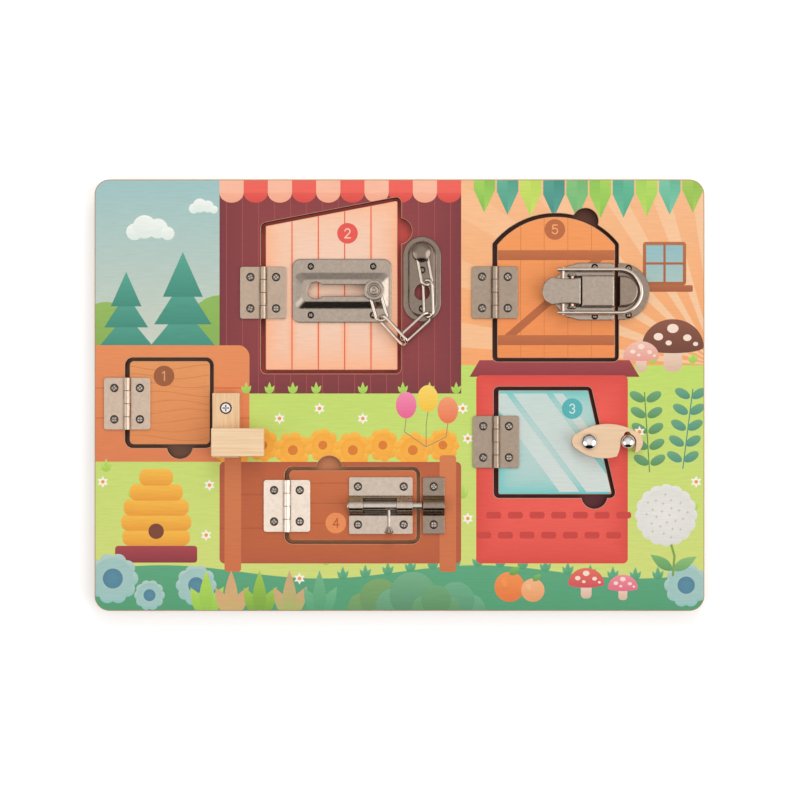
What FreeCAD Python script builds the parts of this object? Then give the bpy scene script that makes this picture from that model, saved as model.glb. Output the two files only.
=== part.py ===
import FreeCAD, Part
import math
import os

# A wooden busy board: a back panel and a face panel with five hinged doors,
# each held shut by another latch. Millimetres. The board lies on its back:
# +X to its right, +Y to its top edge, +Z out of its face. The origin is in
# the middle of the back.

V = FreeCAD.Vector

# Board
BOARD_LENGTH = 366.0
BOARD_WIDTH = 259.0
BOARD_CORNER = 9.0
BACK_THICKNESS = 5.0
FACE_THICKNESS = 5.0
EDGE_ROUND = 0.6
RIM_CHAMFER = 0.3

# Doors: gap all round, a wider one at the hinge, and a little air below
DOOR_GAP = 2.2
HINGE_GAP = 2.8
DOOR_LIFT = 0.2
NOTCH_RADIUS = 7.8
NOTCH_DEPTH = 6.5

DOOR_1_LEFT, DOOR_1_LENGTH, DOOR_1_BOTTOM, DOOR_1_HEIGHT = -161.9, 48.2, -29.5, 49.9
DOOR_1_CORNER = 2.6
DOOR_1_NOTCH_X = -131.8
DOOR_1_HINGE_Y = -5.1

DOOR_2_LEFT, DOOR_2_LENGTH, DOOR_2_BOTTOM = -80.3, 79.1, 15.1
DOOR_2_LEFT_HEIGHT, DOOR_2_RIGHT_HEIGHT = 86.4, 101.6
DOOR_2_CORNER = 1.0
DOOR_2_NOTCH_Y = 98.5
DOOR_2_HINGE_Y = 61.4

DOOR_3_LEFT, DOOR_3_TOP_LENGTH, DOOR_3_BOTTOM_LENGTH = 59.3, 53.9, 68.1
DOOR_3_BOTTOM, DOOR_3_HEIGHT = -59.5, 62.4
DOOR_3_CORNER = 1.0
DOOR_3_NOTCH_X = 116.9
DOOR_3_HINGE_Y = -28.0

DOOR_4_LEFT, DOOR_4_LENGTH, DOOR_4_BOTTOM, DOOR_4_HEIGHT = -66.1, 76.3, -87.0, 41.9
DOOR_4_CORNER = 2.6
DOOR_4_NOTCH_X = -42.2
DOOR_4_HINGE_Y = -66.4

DOOR_5_LEFT, DOOR_5_LENGTH, DOOR_5_BOTTOM = 58.6, 70.7, 22.3
DOOR_5_SIDE_HEIGHT, DOOR_5_HEIGHT = 67.8, 84.7
DOOR_5_CORNER = 1.0
DOOR_5_NOTCH_X = 112.0
DOOR_5_HINGE_Y = 61.6

# Hinges
HINGE_HEIGHT = 31.2
HINGE_LEAF_LENGTH = 13.9
HINGE_SHEET = 0.9
HINGE_CORNER = 1.6
KNUCKLE_RADIUS = 1.9
KNUCKLE_COUNT = 4
KNUCKLE_GAP = 0.2
PIN_RADIUS = 1.0
PIN_CLEARANCE = 0.05
HINGE_SCREW_X = 7.7
HINGE_SCREW_Y = 9.4

# Wood screws with a raised countersunk head
SCREW_HEAD_RADIUS = 2.55
SCREW_SHANK_RADIUS = 1.2
SCREW_DOME = 0.55
SCREW_LENGTH = 4.2
SCREW_TIP = 1.0
SCREW_CLEARANCE = 0.05
CROSS_LENGTH = 2.7
CROSS_WIDTH = 0.55
CROSS_DEPTH = 0.75

# Turn latch by door 1
LATCH_PIVOT_X, LATCH_PIVOT_Y = -103.6, -7.7
LATCH_BAR_REACH = 29.6
LATCH_BAR_TAIL = 9.0
LATCH_BAR_WIDTH = 16.2
LATCH_BAR_THICKNESS = 6.0
LATCH_BLOCK_LENGTH = 16.6
LATCH_BLOCK_HEIGHT = 31.2
LATCH_BLOCK_THICKNESS = 7.0
LATCH_BLOCK_INSET = 1.0
LATCH_AIR = 0.3
LATCH_EDGE_ROUND = 0.6
LATCH_REST_TURN = 90.0
LATCH_SCREW_HEAD_RADIUS = 3.15
LATCH_SCREW_HEAD_HEIGHT = 2.0
LATCH_COUNTERBORE_RADIUS = 3.6
LATCH_COUNTERBORE_DEPTH = 2.3
LATCH_SCREW_SHANK_RADIUS = 1.7
LATCH_SCREW_DEPTH = 8.0

# Chain latch on door 2: slot plate, button, five links and an anchor plate
SLOT_PLATE_X, SLOT_PLATE_Y = -34.5, 62.6
SLOT_PLATE_LENGTH = 59.4
SLOT_PLATE_HEIGHT = 38.1
SLOT_PLATE_CORNER = 4.8
PLATE_SHEET = 0.9
BOSS_LENGTH, BOSS_HEIGHT = 55.8, 21.6
BOSS_TOP_LENGTH, BOSS_TOP_HEIGHT = 47.6, 13.0
BOSS_RISE = 2.6
BOSS_CORNER = 3.0
SLOT_HALF_WIDTH = 3.4
KEYHOLE_RADIUS = 5.0
KEYHOLE_X = -50.0
BUTTON_X = -15.2
SLOT_SCREW_X = 18.7
SLOT_SCREW_Y = 14.6
SMALL_SCREW_HEAD_RADIUS = 2.0
SMALL_SCREW_SHANK_RADIUS = 1.0
BUTTON_CLEARANCE = 0.2
BUTTON_FOOT_RADIUS = 4.6
BUTTON_FOOT_THICKNESS = 1.4
BUTTON_FOOT_FLAT = 3.5
BUTTON_FLANGE_RADIUS = 5.9
BUTTON_FLANGE_THICKNESS = 0.6
BUTTON_LIFT = 0.35
BUTTON_NECK_RADIUS = 2.0
BUTTON_CAP_RADIUS = 6.1
BUTTON_CAP_THICKNESS = 0.9
BUTTON_RIVET_RADIUS = 2.7
BUTTON_RIVET_RISE = 0.35
BUTTON_GROOVE_RADIUS = 4.2
BUTTON_GROOVE_DEPTH = 0.35

CHAIN_WIRE_RADIUS = 0.95
LINK_END_RADIUS = 3.25
LINK_RUN = 15.6
LINK_PLAY = 0.3

# Each link: its start (X, Y, height above the face), heading, end height and roll.
# The first hangs from the button, the fifth from the anchor's post.
LINK_2 = ((1.64, 33.02, 4.79), 132.6, 4.68, -53.6)
LINK_3 = ((15.78, 46.22, 4.09), -137.6, 3.46, -39.3)
LINK_4 = ((16.77, 65.55, 4.95), -87.7, 5.39, 33.9)
LINK_5 = ((13.37, 84.37, 4.01), -79.8, 4.67, -15.3)
LINK_1_HEADING = -74.2
LINK_1_END_DROP = 0.63

ANCHOR_X = 13.5
ANCHOR_BOTTOM, ANCHOR_LENGTH, ANCHOR_WIDTH = 44.0, 51.1, 22.7
ANCHOR_RISE = 1.2
ANCHOR_BRIM = 2.9
ANCHOR_SLOPE = 1.7
ANCHOR_POST_X, ANCHOR_POST_Y = 13.37, 84.6
ANCHOR_POST_RADIUS = 1.7
HOOD_X, HOOD_Y = 13.1, 85.3
HOOD_RADIUS = 5.5
HOOD_WALL = 0.8
HOOD_ROOM = 4.3
HOOD_CROWN = 1.6
ANCHOR_HOLE_Y = 61.7
ANCHOR_HOLE_RADIUS = 4.6
ANCHOR_SCREW_Y = (75.0, 51.8)

# Hook latch on door 3
HOOK_PIVOT_X, HOOK_PIVOT_Y = 113.4, -27.9
HOOK_STUD_REACH = 23.1
HOOK_THICKNESS = 5.0
# The hook's corners, measured from its pivot, and the middles of the arcs between them.
HOOK_LEFT_LOW, HOOK_LEFT_MIDDLE, HOOK_LEFT_HIGH = (-7.2, -4.4), (-10.3, 0.4), (-6.8, 5.2)
HOOK_TOP_MIDDLE, HOOK_RIGHT_HIGH = (10.3, 10.7), (26.6, 6.6)
HOOK_RIGHT_MIDDLE, HOOK_RIGHT_LOW = (31.9, 0.6), (28.6, -6.0)
HOOK_HEEL, HOOK_HEEL_MIDDLE = (14.0, -9.2), (3.0, -9.2)
HOOK_AIR = 0.4
HOOK_EDGE_ROUND = 0.7
HOOK_LOCK_TURN = 10.0
DOME_AIR = 0.25
PIVOT_DOME_RADIUS, PIVOT_DOME_RISE = 5.0, 2.8
STUD_DOME_RADIUS, STUD_DOME_RISE = 4.1, 2.4
STUD_NECK_RADIUS = 1.8
STUD_NECK_PLAY = 0.35
STUD_DOME_PLAY_IN, STUD_DOME_PLAY_OUT, STUD_DOME_PLAY_UP = 0.5, 0.8, 0.5
PIVOT_SHANK_RADIUS = 1.9
STUD_DEPTH = 8.0

# Barrel bolt on door 4
BOLT_X, BOLT_Y = -11.2, -66.2
BOLT_LENGTH, BOLT_HEIGHT = 38.0, 34.1
BOLT_CORNER = 0.9
BOLT_KNUCKLE_LEFT, BOLT_KNUCKLE_RIGHT = 8.4, 9.4
BOLT_ROD_RADIUS = 2.5
BOLT_ROD_AIR = 0.3
BOLT_SLEEVE_RADIUS = 2.95
BOLT_BARREL_PLAY = 0.15
BOLT_SHEET = 0.9
BOLT_FILLET_REACH = 2.0
BOLT_WINDOW_SHOULDER = 1.2
BOLT_SCREW_X, BOLT_SCREW_Y = 13.7, 11.4
BOLT_TAIL = 1.2
HANDLE_X = -6.3
HANDLE_RADIUS = 1.1
HANDLE_END_RADIUS = 2.9
HANDLE_LENGTH = 16.2
HANDLE_FLARE = 3.6
HANDLE_TILT = 10.0
BOLT_TIP_GAP = 0.3
KEEPER_LEFT, KEEPER_LENGTH = 14.0, 13.0

# Draw latch on door 5
DRAW_Y = 62.1
DRAW_BASE_LEFT, DRAW_BASE_RIGHT, DRAW_BASE_HEIGHT = 92.7, 128.5, 34.4
DRAW_NOSE_HEIGHT, DRAW_NOSE_LENGTH = 14.4, 7.5
DRAW_SHEET = 1.0
LEVER_PIVOT_X, LEVER_PIVOT_RISE = 103.2, 5.2
BAIL_PIN_REACH = 5.5
DRAW_PIN_RADIUS = 0.9
HOUSING_LEFT, HOUSING_RIGHT, HOUSING_HEIGHT, HOUSING_RISE = 108.7, 128.2, 18.5, 7.3
LEVER_LEFT, LEVER_RIGHT_REACH, LEVER_HEIGHT = 85.0, 4.9, 16.8
LEVER_WAIST = 1.0
LEVER_SHEET = 1.0
LEVER_SKIRT = 2.2
EAR_OUT = 9.1
EAR_SHEET = 0.9
BAIL_WIRE_RADIUS = 1.2
BAIL_HALF_WIDTH = 12.9
BAIL_ARC_X = 131.6
BAIL_TAIL = 3.4
CATCH_LEFT, CATCH_ARC_X, CATCH_HALF_HEIGHT = 131.0, 133.0, 16.9
TONGUE_LEFT, TONGUE_HALF_HEIGHT, TONGUE_RISE = 131.3, 9.2, 5.5
TONGUE_PLAY = 0.5
TONGUE_ROUND = 1.4
DRAW_SCREW_X, DRAW_SCREW_Y = 117.0, 14.7
CATCH_SCREW_X, CATCH_SCREW_Y = 137.3, 14.0

# Levels worked out from the panels
FACE = BACK_THICKNESS + FACE_THICKNESS
DOOR_UNDER = BACK_THICKNESS + DOOR_LIFT
HINGE_AXIS_Z = FACE + KNUCKLE_RADIUS

os.makedirs("parts", exist_ok=True)


def save(name, shape):
    """Writes one named piece."""
    shape.exportStep(os.path.join("parts", name + ".step"))


def box(x0, x1, y0, y1, z0, z1):
    """A block between two corners."""
    return Part.makeBox(x1 - x0, y1 - y0, z1 - z0, V(x0, y0, z0))


def post(x, y, z0, z1, r):
    """An upright cylinder."""
    return Part.makeCylinder(r, z1 - z0, V(x, y, z0))


def rod_x(x0, x1, y, z, r):
    """A cylinder along X."""
    return Part.makeCylinder(r, x1 - x0, V(x0, y, z), V(1, 0, 0))


def rod_y(x, y0, y1, z, r):
    """A cylinder along Y."""
    return Part.makeCylinder(r, y1 - y0, V(x, y0, z), V(0, 1, 0))


def dome(x, y, z, r, rise):
    """A spherical cap of base radius r standing on level z."""
    ball = (r * r + rise * rise) / (2 * rise)
    cap = Part.makeSphere(ball, V(x, y, z + rise - ball))
    return cap.common(post(x, y, z, z + rise + 1, r + 1))


def outline(points, corner):
    """A closed wire through the points, each corner rounded by the same radius."""
    edges = []
    count = len(points)
    starts, ends, middles = [], [], []
    for i in range(count):
        here = points[i]
        before = (points[i - 1] - here).normalize()
        after = (points[(i + 1) % count] - here).normalize()
        half = before.getAngle(after) / 2
        reach = corner / math.tan(half)
        inward = (before + after).normalize()
        starts.append(here + before * reach)
        ends.append(here + after * reach)
        middles.append(here + inward * (corner / math.sin(half) - corner))
    for i in range(count):
        edges.append(Part.Arc(starts[i], middles[i], ends[i]).toShape())
        edges.append(Part.LineSegment(ends[i], starts[(i + 1) % count]).toShape())
    return Part.Wire(edges)


def prism(wire, z0, z1):
    """The wire's face raised from z0 to z1; the wire lies at level 0."""
    face = Part.Face(wire)
    face.translate(V(0, 0, z0))
    return face.extrude(V(0, 0, z1 - z0))


def rounded_plate(x, y, length, height, corner, z0, z1):
    """A plate centred on x, y with four rounded corners."""
    a, b = length / 2, height / 2
    points = [V(x - a, y - b, 0), V(x + a, y - b, 0), V(x + a, y + b, 0), V(x - a, y + b, 0)]
    return prism(outline(points, corner), z0, z1)


def frustum(x, y, low, high, corner, z0, z1):
    """A plate whose sides lean in from the low length and height to the high ones."""
    wires = []
    for (length, height), z in ((low, z0), (high, z1)):
        a, b = length / 2, height / 2
        points = [V(x - a, y - b, 0), V(x + a, y - b, 0), V(x + a, y + b, 0), V(x - a, y + b, 0)]
        wire = outline(points, corner)
        wire.translate(V(0, 0, z))
        wires.append(wire)
    return Part.makeLoft(wires, True, True)


def stadium(x, y0, y1, r, z0, z1):
    """A plate with two round ends, along Y between the centres y0 and y1."""
    edges = [Part.LineSegment(V(x + r, y0, 0), V(x + r, y1, 0)).toShape(),
             Part.Arc(V(x + r, y1, 0), V(x, y1 + r, 0), V(x - r, y1, 0)).toShape(),
             Part.LineSegment(V(x - r, y1, 0), V(x - r, y0, 0)).toShape(),
             Part.Arc(V(x - r, y0, 0), V(x, y0 - r, 0), V(x + r, y0, 0)).toShape()]
    return prism(Part.Wire(edges), z0, z1)


def edges_at(shape, z):
    """The edges that lie wholly at level z."""
    found = []
    for edge in shape.Edges:
        ends = [vertex.Point.z for vertex in edge.Vertexes]
        if all(abs(value - z) < 1e-6 for value in ends) and abs(edge.BoundBox.ZLength) < 1e-6:
            found.append(edge)
    return found


def screw(x, y, seat, head_r, shank_r, length, sheet, turn):
    """A wood screw: cone under the head to the sheet's depth, low dome, cross recess, point."""
    lower = seat - sheet
    tip = lower - length
    ball = (head_r * head_r + SCREW_DOME * SCREW_DOME) / (2 * SCREW_DOME)
    mid = head_r / 2
    mid_z = seat + SCREW_DOME - ball + math.sqrt(ball * ball - mid * mid)
    profile = Part.Wire([
        Part.LineSegment(V(0, 0, tip), V(shank_r * 0.3, 0, tip)).toShape(),
        Part.LineSegment(V(shank_r * 0.3, 0, tip), V(shank_r, 0, tip + SCREW_TIP)).toShape(),
        Part.LineSegment(V(shank_r, 0, tip + SCREW_TIP), V(shank_r, 0, lower)).toShape(),
        Part.LineSegment(V(shank_r, 0, lower), V(head_r, 0, seat)).toShape(),
        Part.Arc(V(head_r, 0, seat), V(mid, 0, mid_z), V(0, 0, seat + SCREW_DOME)).toShape(),
        Part.LineSegment(V(0, 0, seat + SCREW_DOME), V(0, 0, tip)).toShape()])
    body = Part.Face(profile).revolve(V(0, 0, 0), V(0, 0, 1), 360)
    size = head_r / SCREW_HEAD_RADIUS
    a, b = CROSS_LENGTH * size / 2, CROSS_WIDTH * size / 2
    top = seat + SCREW_DOME
    cross = box(-a, a, -b, b, top - CROSS_DEPTH, top + 1).fuse(
        box(-b, b, -a, a, top - CROSS_DEPTH, top + 1))
    body = body.cut(cross)
    body.rotate(V(0, 0, 0), V(0, 0, 1), turn)
    body.translate(V(x, y, 0))
    return body


def sink(x, y, seat, head_r, shank_r, sheet):
    """The countersunk hole in a sheet for the screw above."""
    gap = SCREW_CLEARANCE
    cone = Part.makeCone(shank_r + gap, head_r + gap, sheet, V(x, y, seat - sheet))
    return cone.fuse(post(x, y, seat, seat + 2, head_r + gap))


def pilot(x, y, top, shank_r, length):
    """The hole in the wood for a screw's shank."""
    return post(x, y, top - length - SCREW_CLEARANCE, top + 1, shank_r + SCREW_CLEARANCE)


def screw_turn(index):
    """Each screw stops at another angle of its cross."""
    return (index * 37) % 90


# Doors. Each outline is a function of its left edge, so that the opening can
# reach further left by the wider hinge gap.

def outline_1(left, corner):
    right, low = DOOR_1_LEFT + DOOR_1_LENGTH, DOOR_1_BOTTOM
    high = low + DOOR_1_HEIGHT
    return outline([V(left, low, 0), V(right, low, 0), V(right, high, 0), V(left, high, 0)], corner)


def outline_2(left, corner):
    right, low = DOOR_2_LEFT + DOOR_2_LENGTH, DOOR_2_BOTTOM
    slope = (DOOR_2_RIGHT_HEIGHT - DOOR_2_LEFT_HEIGHT) / DOOR_2_LENGTH
    left_top = low + DOOR_2_RIGHT_HEIGHT - slope * (right - left)
    return outline([V(left, low, 0), V(right, low, 0), V(right, low + DOOR_2_RIGHT_HEIGHT, 0),
                    V(left, left_top, 0)], corner)


def outline_3(left, corner):
    low, high = DOOR_3_BOTTOM, DOOR_3_BOTTOM + DOOR_3_HEIGHT
    return outline([V(left, low, 0), V(DOOR_3_LEFT + DOOR_3_BOTTOM_LENGTH, low, 0),
                    V(DOOR_3_LEFT + DOOR_3_TOP_LENGTH, high, 0), V(left, high, 0)], corner)


def outline_4(left, corner):
    right, low = DOOR_4_LEFT + DOOR_4_LENGTH, DOOR_4_BOTTOM
    high = low + DOOR_4_HEIGHT
    return outline([V(left, low, 0), V(right, low, 0), V(right, high, 0), V(left, high, 0)], corner)


def arch_circle():
    """Centre X, centre Y and radius of door 5's arch."""
    half = DOOR_5_LENGTH / 2
    rise = DOOR_5_HEIGHT - DOOR_5_SIDE_HEIGHT
    radius = (half * half + rise * rise) / (2 * rise)
    return DOOR_5_LEFT + half, DOOR_5_BOTTOM + DOOR_5_HEIGHT - radius, radius


def outline_5(left, corner):
    right, low = DOOR_5_LEFT + DOOR_5_LENGTH, DOOR_5_BOTTOM
    shoulder = low + DOOR_5_SIDE_HEIGHT
    bend = corner * (1 - math.sqrt(0.5))
    points = [V(left, shoulder, 0), V(left, low + corner, 0), V(left + bend, low + bend, 0),
              V(left + corner, low, 0), V(right - corner, low, 0),
              V(right - bend, low + bend, 0), V(right, low + corner, 0), V(right, shoulder, 0)]
    top = V(DOOR_5_LEFT + DOOR_5_LENGTH / 2, low + DOOR_5_HEIGHT, 0)
    return Part.Wire([Part.LineSegment(points[0], points[1]).toShape(),
                      Part.Arc(points[1], points[2], points[3]).toShape(),
                      Part.LineSegment(points[3], points[4]).toShape(),
                      Part.Arc(points[4], points[5], points[6]).toShape(),
                      Part.LineSegment(points[6], points[7]).toShape(),
                      Part.Arc(points[7], top, points[0]).toShape()])


def notch_places():
    """Centre of each finger notch, NOTCH_DEPTH past the edge of its opening."""
    inset = NOTCH_RADIUS - NOTCH_DEPTH
    x5, y5, r5 = arch_circle()
    angle = math.acos((DOOR_5_NOTCH_X - x5) / (r5 + DOOR_GAP))
    reach = r5 + DOOR_GAP - inset
    slant = math.atan2(DOOR_2_RIGHT_HEIGHT - DOOR_2_LEFT_HEIGHT, DOOR_2_LENGTH)
    return [(DOOR_1_NOTCH_X, DOOR_1_BOTTOM - DOOR_GAP + inset),
            (DOOR_2_LEFT + DOOR_2_LENGTH + DOOR_GAP - inset, DOOR_2_NOTCH_Y),
            (DOOR_3_NOTCH_X, DOOR_3_BOTTOM - DOOR_GAP + inset),
            (DOOR_4_NOTCH_X, DOOR_4_BOTTOM + DOOR_4_HEIGHT + DOOR_GAP - inset),
            (x5 + reach * math.cos(angle), y5 + reach * math.sin(angle))]


DOORS = [(outline_1, DOOR_1_LEFT, DOOR_1_CORNER, DOOR_1_HINGE_Y),
         (outline_2, DOOR_2_LEFT, DOOR_2_CORNER, DOOR_2_HINGE_Y),
         (outline_3, DOOR_3_LEFT, DOOR_3_CORNER, DOOR_3_HINGE_Y),
         (outline_4, DOOR_4_LEFT, DOOR_4_CORNER, DOOR_4_HINGE_Y),
         (outline_5, DOOR_5_LEFT, DOOR_5_CORNER, DOOR_5_HINGE_Y)]


def make_door(shape_of, left, corner):
    door = prism(shape_of(left, corner), DOOR_UNDER, FACE)
    return door.makeChamfer(RIM_CHAMFER, edges_at(door, FACE))


def make_opening(shape_of, left, corner, notch):
    """The hole in the face panel: the door grown by its gap, with the finger notch."""
    face = Part.Face(shape_of(left - (HINGE_GAP - DOOR_GAP), corner))
    grown = face.makeOffset2D(DOOR_GAP)
    grown.translate(V(0, 0, BACK_THICKNESS))
    hole = grown.extrude(V(0, 0, FACE_THICKNESS))
    hole = hole.fuse(post(notch[0], notch[1], BACK_THICKNESS, FACE, NOTCH_RADIUS)).removeSplitter()
    wires = [f.OuterWire for f in hole.Faces
             if abs(f.BoundBox.ZLength) < 1e-6 and abs(f.BoundBox.ZMin - FACE) < 1e-6]
    flare = Part.Face(wires[0]).makeOffset2D(RIM_CHAMFER)
    low = wires[0].copy()
    low.translate(V(0, 0, -RIM_CHAMFER))
    rim = Part.makeLoft([low, flare.OuterWire], True, True)
    return hole, rim


# Hinges

def hinge_axis_x(left):
    return left - HINGE_GAP / 2


def hinge_screw_places(left, hinge_y, side):
    x = hinge_axis_x(left) + side * HINGE_SCREW_X
    return [(x, hinge_y - HINGE_SCREW_Y), (x, hinge_y + HINGE_SCREW_Y)]


def hinge_leaf(left, hinge_y, side):
    """One leaf: side -1 lies on the face panel, side 1 on the door."""
    axis = hinge_axis_x(left)
    low, high = hinge_y - HINGE_HEIGHT / 2, hinge_y + HINGE_HEIGHT / 2
    a, b = sorted((axis, axis + side * HINGE_LEAF_LENGTH))
    leaf = box(a, b, low, high, FACE, FACE + HINGE_SHEET)
    outer = axis + side * HINGE_LEAF_LENGTH
    corners = [e for e in leaf.Edges
               if e.BoundBox.ZLength > HINGE_SHEET / 2 and abs(e.BoundBox.XMin - outer) < 1e-6]
    leaf = leaf.makeFillet(HINGE_CORNER, corners)
    pitch = HINGE_HEIGHT / KNUCKLE_COUNT
    own = 0 if side > 0 else 1
    for k in range(KNUCKLE_COUNT):
        y0, y1 = low + k * pitch, low + (k + 1) * pitch
        if k % 2 == own:
            y0 += KNUCKLE_GAP / 2 if k > 0 else 0
            y1 -= KNUCKLE_GAP / 2 if k < KNUCKLE_COUNT - 1 else 0
            leaf = leaf.fuse(rod_y(axis, y0, y1, HINGE_AXIS_Z, KNUCKLE_RADIUS))
        else:
            y0 -= KNUCKLE_GAP / 2 if k > 0 else 1
            y1 += KNUCKLE_GAP / 2 if k < KNUCKLE_COUNT - 1 else 1
            leaf = leaf.cut(rod_y(axis, y0, y1, HINGE_AXIS_Z, KNUCKLE_RADIUS + KNUCKLE_GAP))
            leaf = leaf.cut(box(axis - KNUCKLE_RADIUS - KNUCKLE_GAP, axis + KNUCKLE_RADIUS + KNUCKLE_GAP,
                                y0, y1, FACE - 1, HINGE_AXIS_Z))
    leaf = leaf.cut(rod_y(axis, low - 1, high + 1, HINGE_AXIS_Z, PIN_RADIUS + PIN_CLEARANCE))
    for x, y in hinge_screw_places(left, hinge_y, side):
        leaf = leaf.cut(sink(x, y, FACE + HINGE_SHEET, SCREW_HEAD_RADIUS, SCREW_SHANK_RADIUS,
                             HINGE_SHEET))
    return leaf.removeSplitter()


def hinge_pin(left, hinge_y):
    low, high = hinge_y - HINGE_HEIGHT / 2, hinge_y + HINGE_HEIGHT / 2
    return rod_y(hinge_axis_x(left), low, high, HINGE_AXIS_Z, PIN_RADIUS)


def sheet_screws(places, seat, head_r, shank_r, sheet, length):
    """A group of like screws through one sheet."""
    return [screw(x, y, seat, head_r, shank_r, length, sheet, screw_turn(i))
            for i, (x, y) in enumerate(places)]


# Chain links

def chain_link(start, end, roll):
    """A closed oblong wire ring: start and end are the centres of its two round ends."""
    along = (end - start).normalize()
    run = (end - start).Length
    flat = Part.makeTorus(LINK_END_RADIUS, CHAIN_WIRE_RADIUS, V(run, 0, 0), V(0, 0, 1), -180, 180, 180)
    flat.rotate(V(run, 0, 0), V(0, 0, 1), -90)
    back = Part.makeTorus(LINK_END_RADIUS, CHAIN_WIRE_RADIUS, V(0, 0, 0), V(0, 0, 1), -180, 180, 180)
    back.rotate(V(0, 0, 0), V(0, 0, 1), 90)
    ring = flat.fuse([back, rod_x(0, run, LINK_END_RADIUS, 0, CHAIN_WIRE_RADIUS),
                      rod_x(0, run, -LINK_END_RADIUS, 0, CHAIN_WIRE_RADIUS)])
    heading = math.degrees(math.atan2(along.y, along.x))
    pitch = math.degrees(math.asin(along.z))
    ring.rotate(V(0, 0, 0), V(1, 0, 0), roll)
    ring.rotate(V(0, 0, 0), V(0, 1, 0), -pitch)
    ring.rotate(V(0, 0, 0), V(0, 0, 1), heading)
    ring.translate(start)
    return ring


def link_end(start, heading, z_end):
    """The far end's centre of a link that starts at start and leads along the heading."""
    rise = z_end - start.z
    reach = math.sqrt(LINK_RUN * LINK_RUN - rise * rise)
    angle = math.radians(heading)
    return start + V(reach * math.cos(angle), reach * math.sin(angle), rise)


SLOT_PLATE_TOP = FACE + PLATE_SHEET
BOSS_TOP = SLOT_PLATE_TOP + BOSS_RISE
BUTTON_FLANGE_Z = BOSS_TOP + BUTTON_LIFT
LINK_1_Z = BUTTON_FLANGE_Z + BUTTON_FLANGE_THICKNESS + LINK_PLAY + CHAIN_WIRE_RADIUS
BUTTON_CAP_Z = LINK_1_Z + CHAIN_WIRE_RADIUS + LINK_PLAY
ANCHOR_TOP = FACE + PLATE_SHEET + ANCHOR_RISE

LINK_1 = ((BUTTON_X, SLOT_PLATE_Y, LINK_1_Z - FACE), LINK_1_HEADING,
          LINK_1_Z - LINK_1_END_DROP - FACE, 0.0)


def make_chain():
    """The five links, numbered from the button."""
    links = []
    for (x, y, rise), heading, end_rise, roll in (LINK_1, LINK_2, LINK_3, LINK_4, LINK_5):
        start = V(x, y, FACE + rise)
        links.append(chain_link(start, link_end(start, heading, FACE + end_rise), roll))
    return links


# Panels

def all_root_pilots():
    """Holes in the face and back panels for everything screwed to them."""
    holes = []
    for shape_of, left, corner, hinge_y in DOORS:
        for x, y in hinge_screw_places(left, hinge_y, -1):
            holes.append(pilot(x, y, FACE, SCREW_SHANK_RADIUS, SCREW_LENGTH))
    for y in ANCHOR_SCREW_Y:
        holes.append(pilot(ANCHOR_X, y, FACE, SMALL_SCREW_SHANK_RADIUS, SCREW_LENGTH))
    for x, y in keeper_screw_places():
        holes.append(pilot(x, y, FACE, SCREW_SHANK_RADIUS, SCREW_LENGTH))
    for x, y in catch_screw_places():
        holes.append(pilot(x, y, FACE, SMALL_SCREW_SHANK_RADIUS, SCREW_LENGTH))
    holes.append(pilot(LATCH_PIVOT_X, LATCH_PIVOT_Y, FACE, LATCH_SCREW_SHANK_RADIUS, LATCH_SCREW_DEPTH))
    stud_x = HOOK_PIVOT_X + HOOK_STUD_REACH
    holes.append(pilot(stud_x, HOOK_PIVOT_Y, FACE, STUD_NECK_RADIUS, STUD_DEPTH))
    return holes


def make_panels():
    back = rounded_plate(0, 0, BOARD_LENGTH, BOARD_WIDTH, BOARD_CORNER, 0, BACK_THICKNESS)
    back = back.makeFillet(EDGE_ROUND, edges_at(back, 0))
    front = rounded_plate(0, 0, BOARD_LENGTH, BOARD_WIDTH, BOARD_CORNER, BACK_THICKNESS, FACE)
    front = front.makeFillet(EDGE_ROUND, edges_at(front, FACE))
    for (shape_of, left, corner, hinge_y), notch in zip(DOORS, notch_places()):
        hole, rim = make_opening(shape_of, left, corner, notch)
        front = front.cut(hole).cut(rim)
    for hole in all_root_pilots():
        front = front.cut(hole)
        back = back.cut(hole)
    return back, front


# Turn latch

def turn_to_rest(shape):
    shape.rotate(V(LATCH_PIVOT_X, LATCH_PIVOT_Y, 0), V(0, 0, 1), LATCH_REST_TURN)
    return shape


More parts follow.
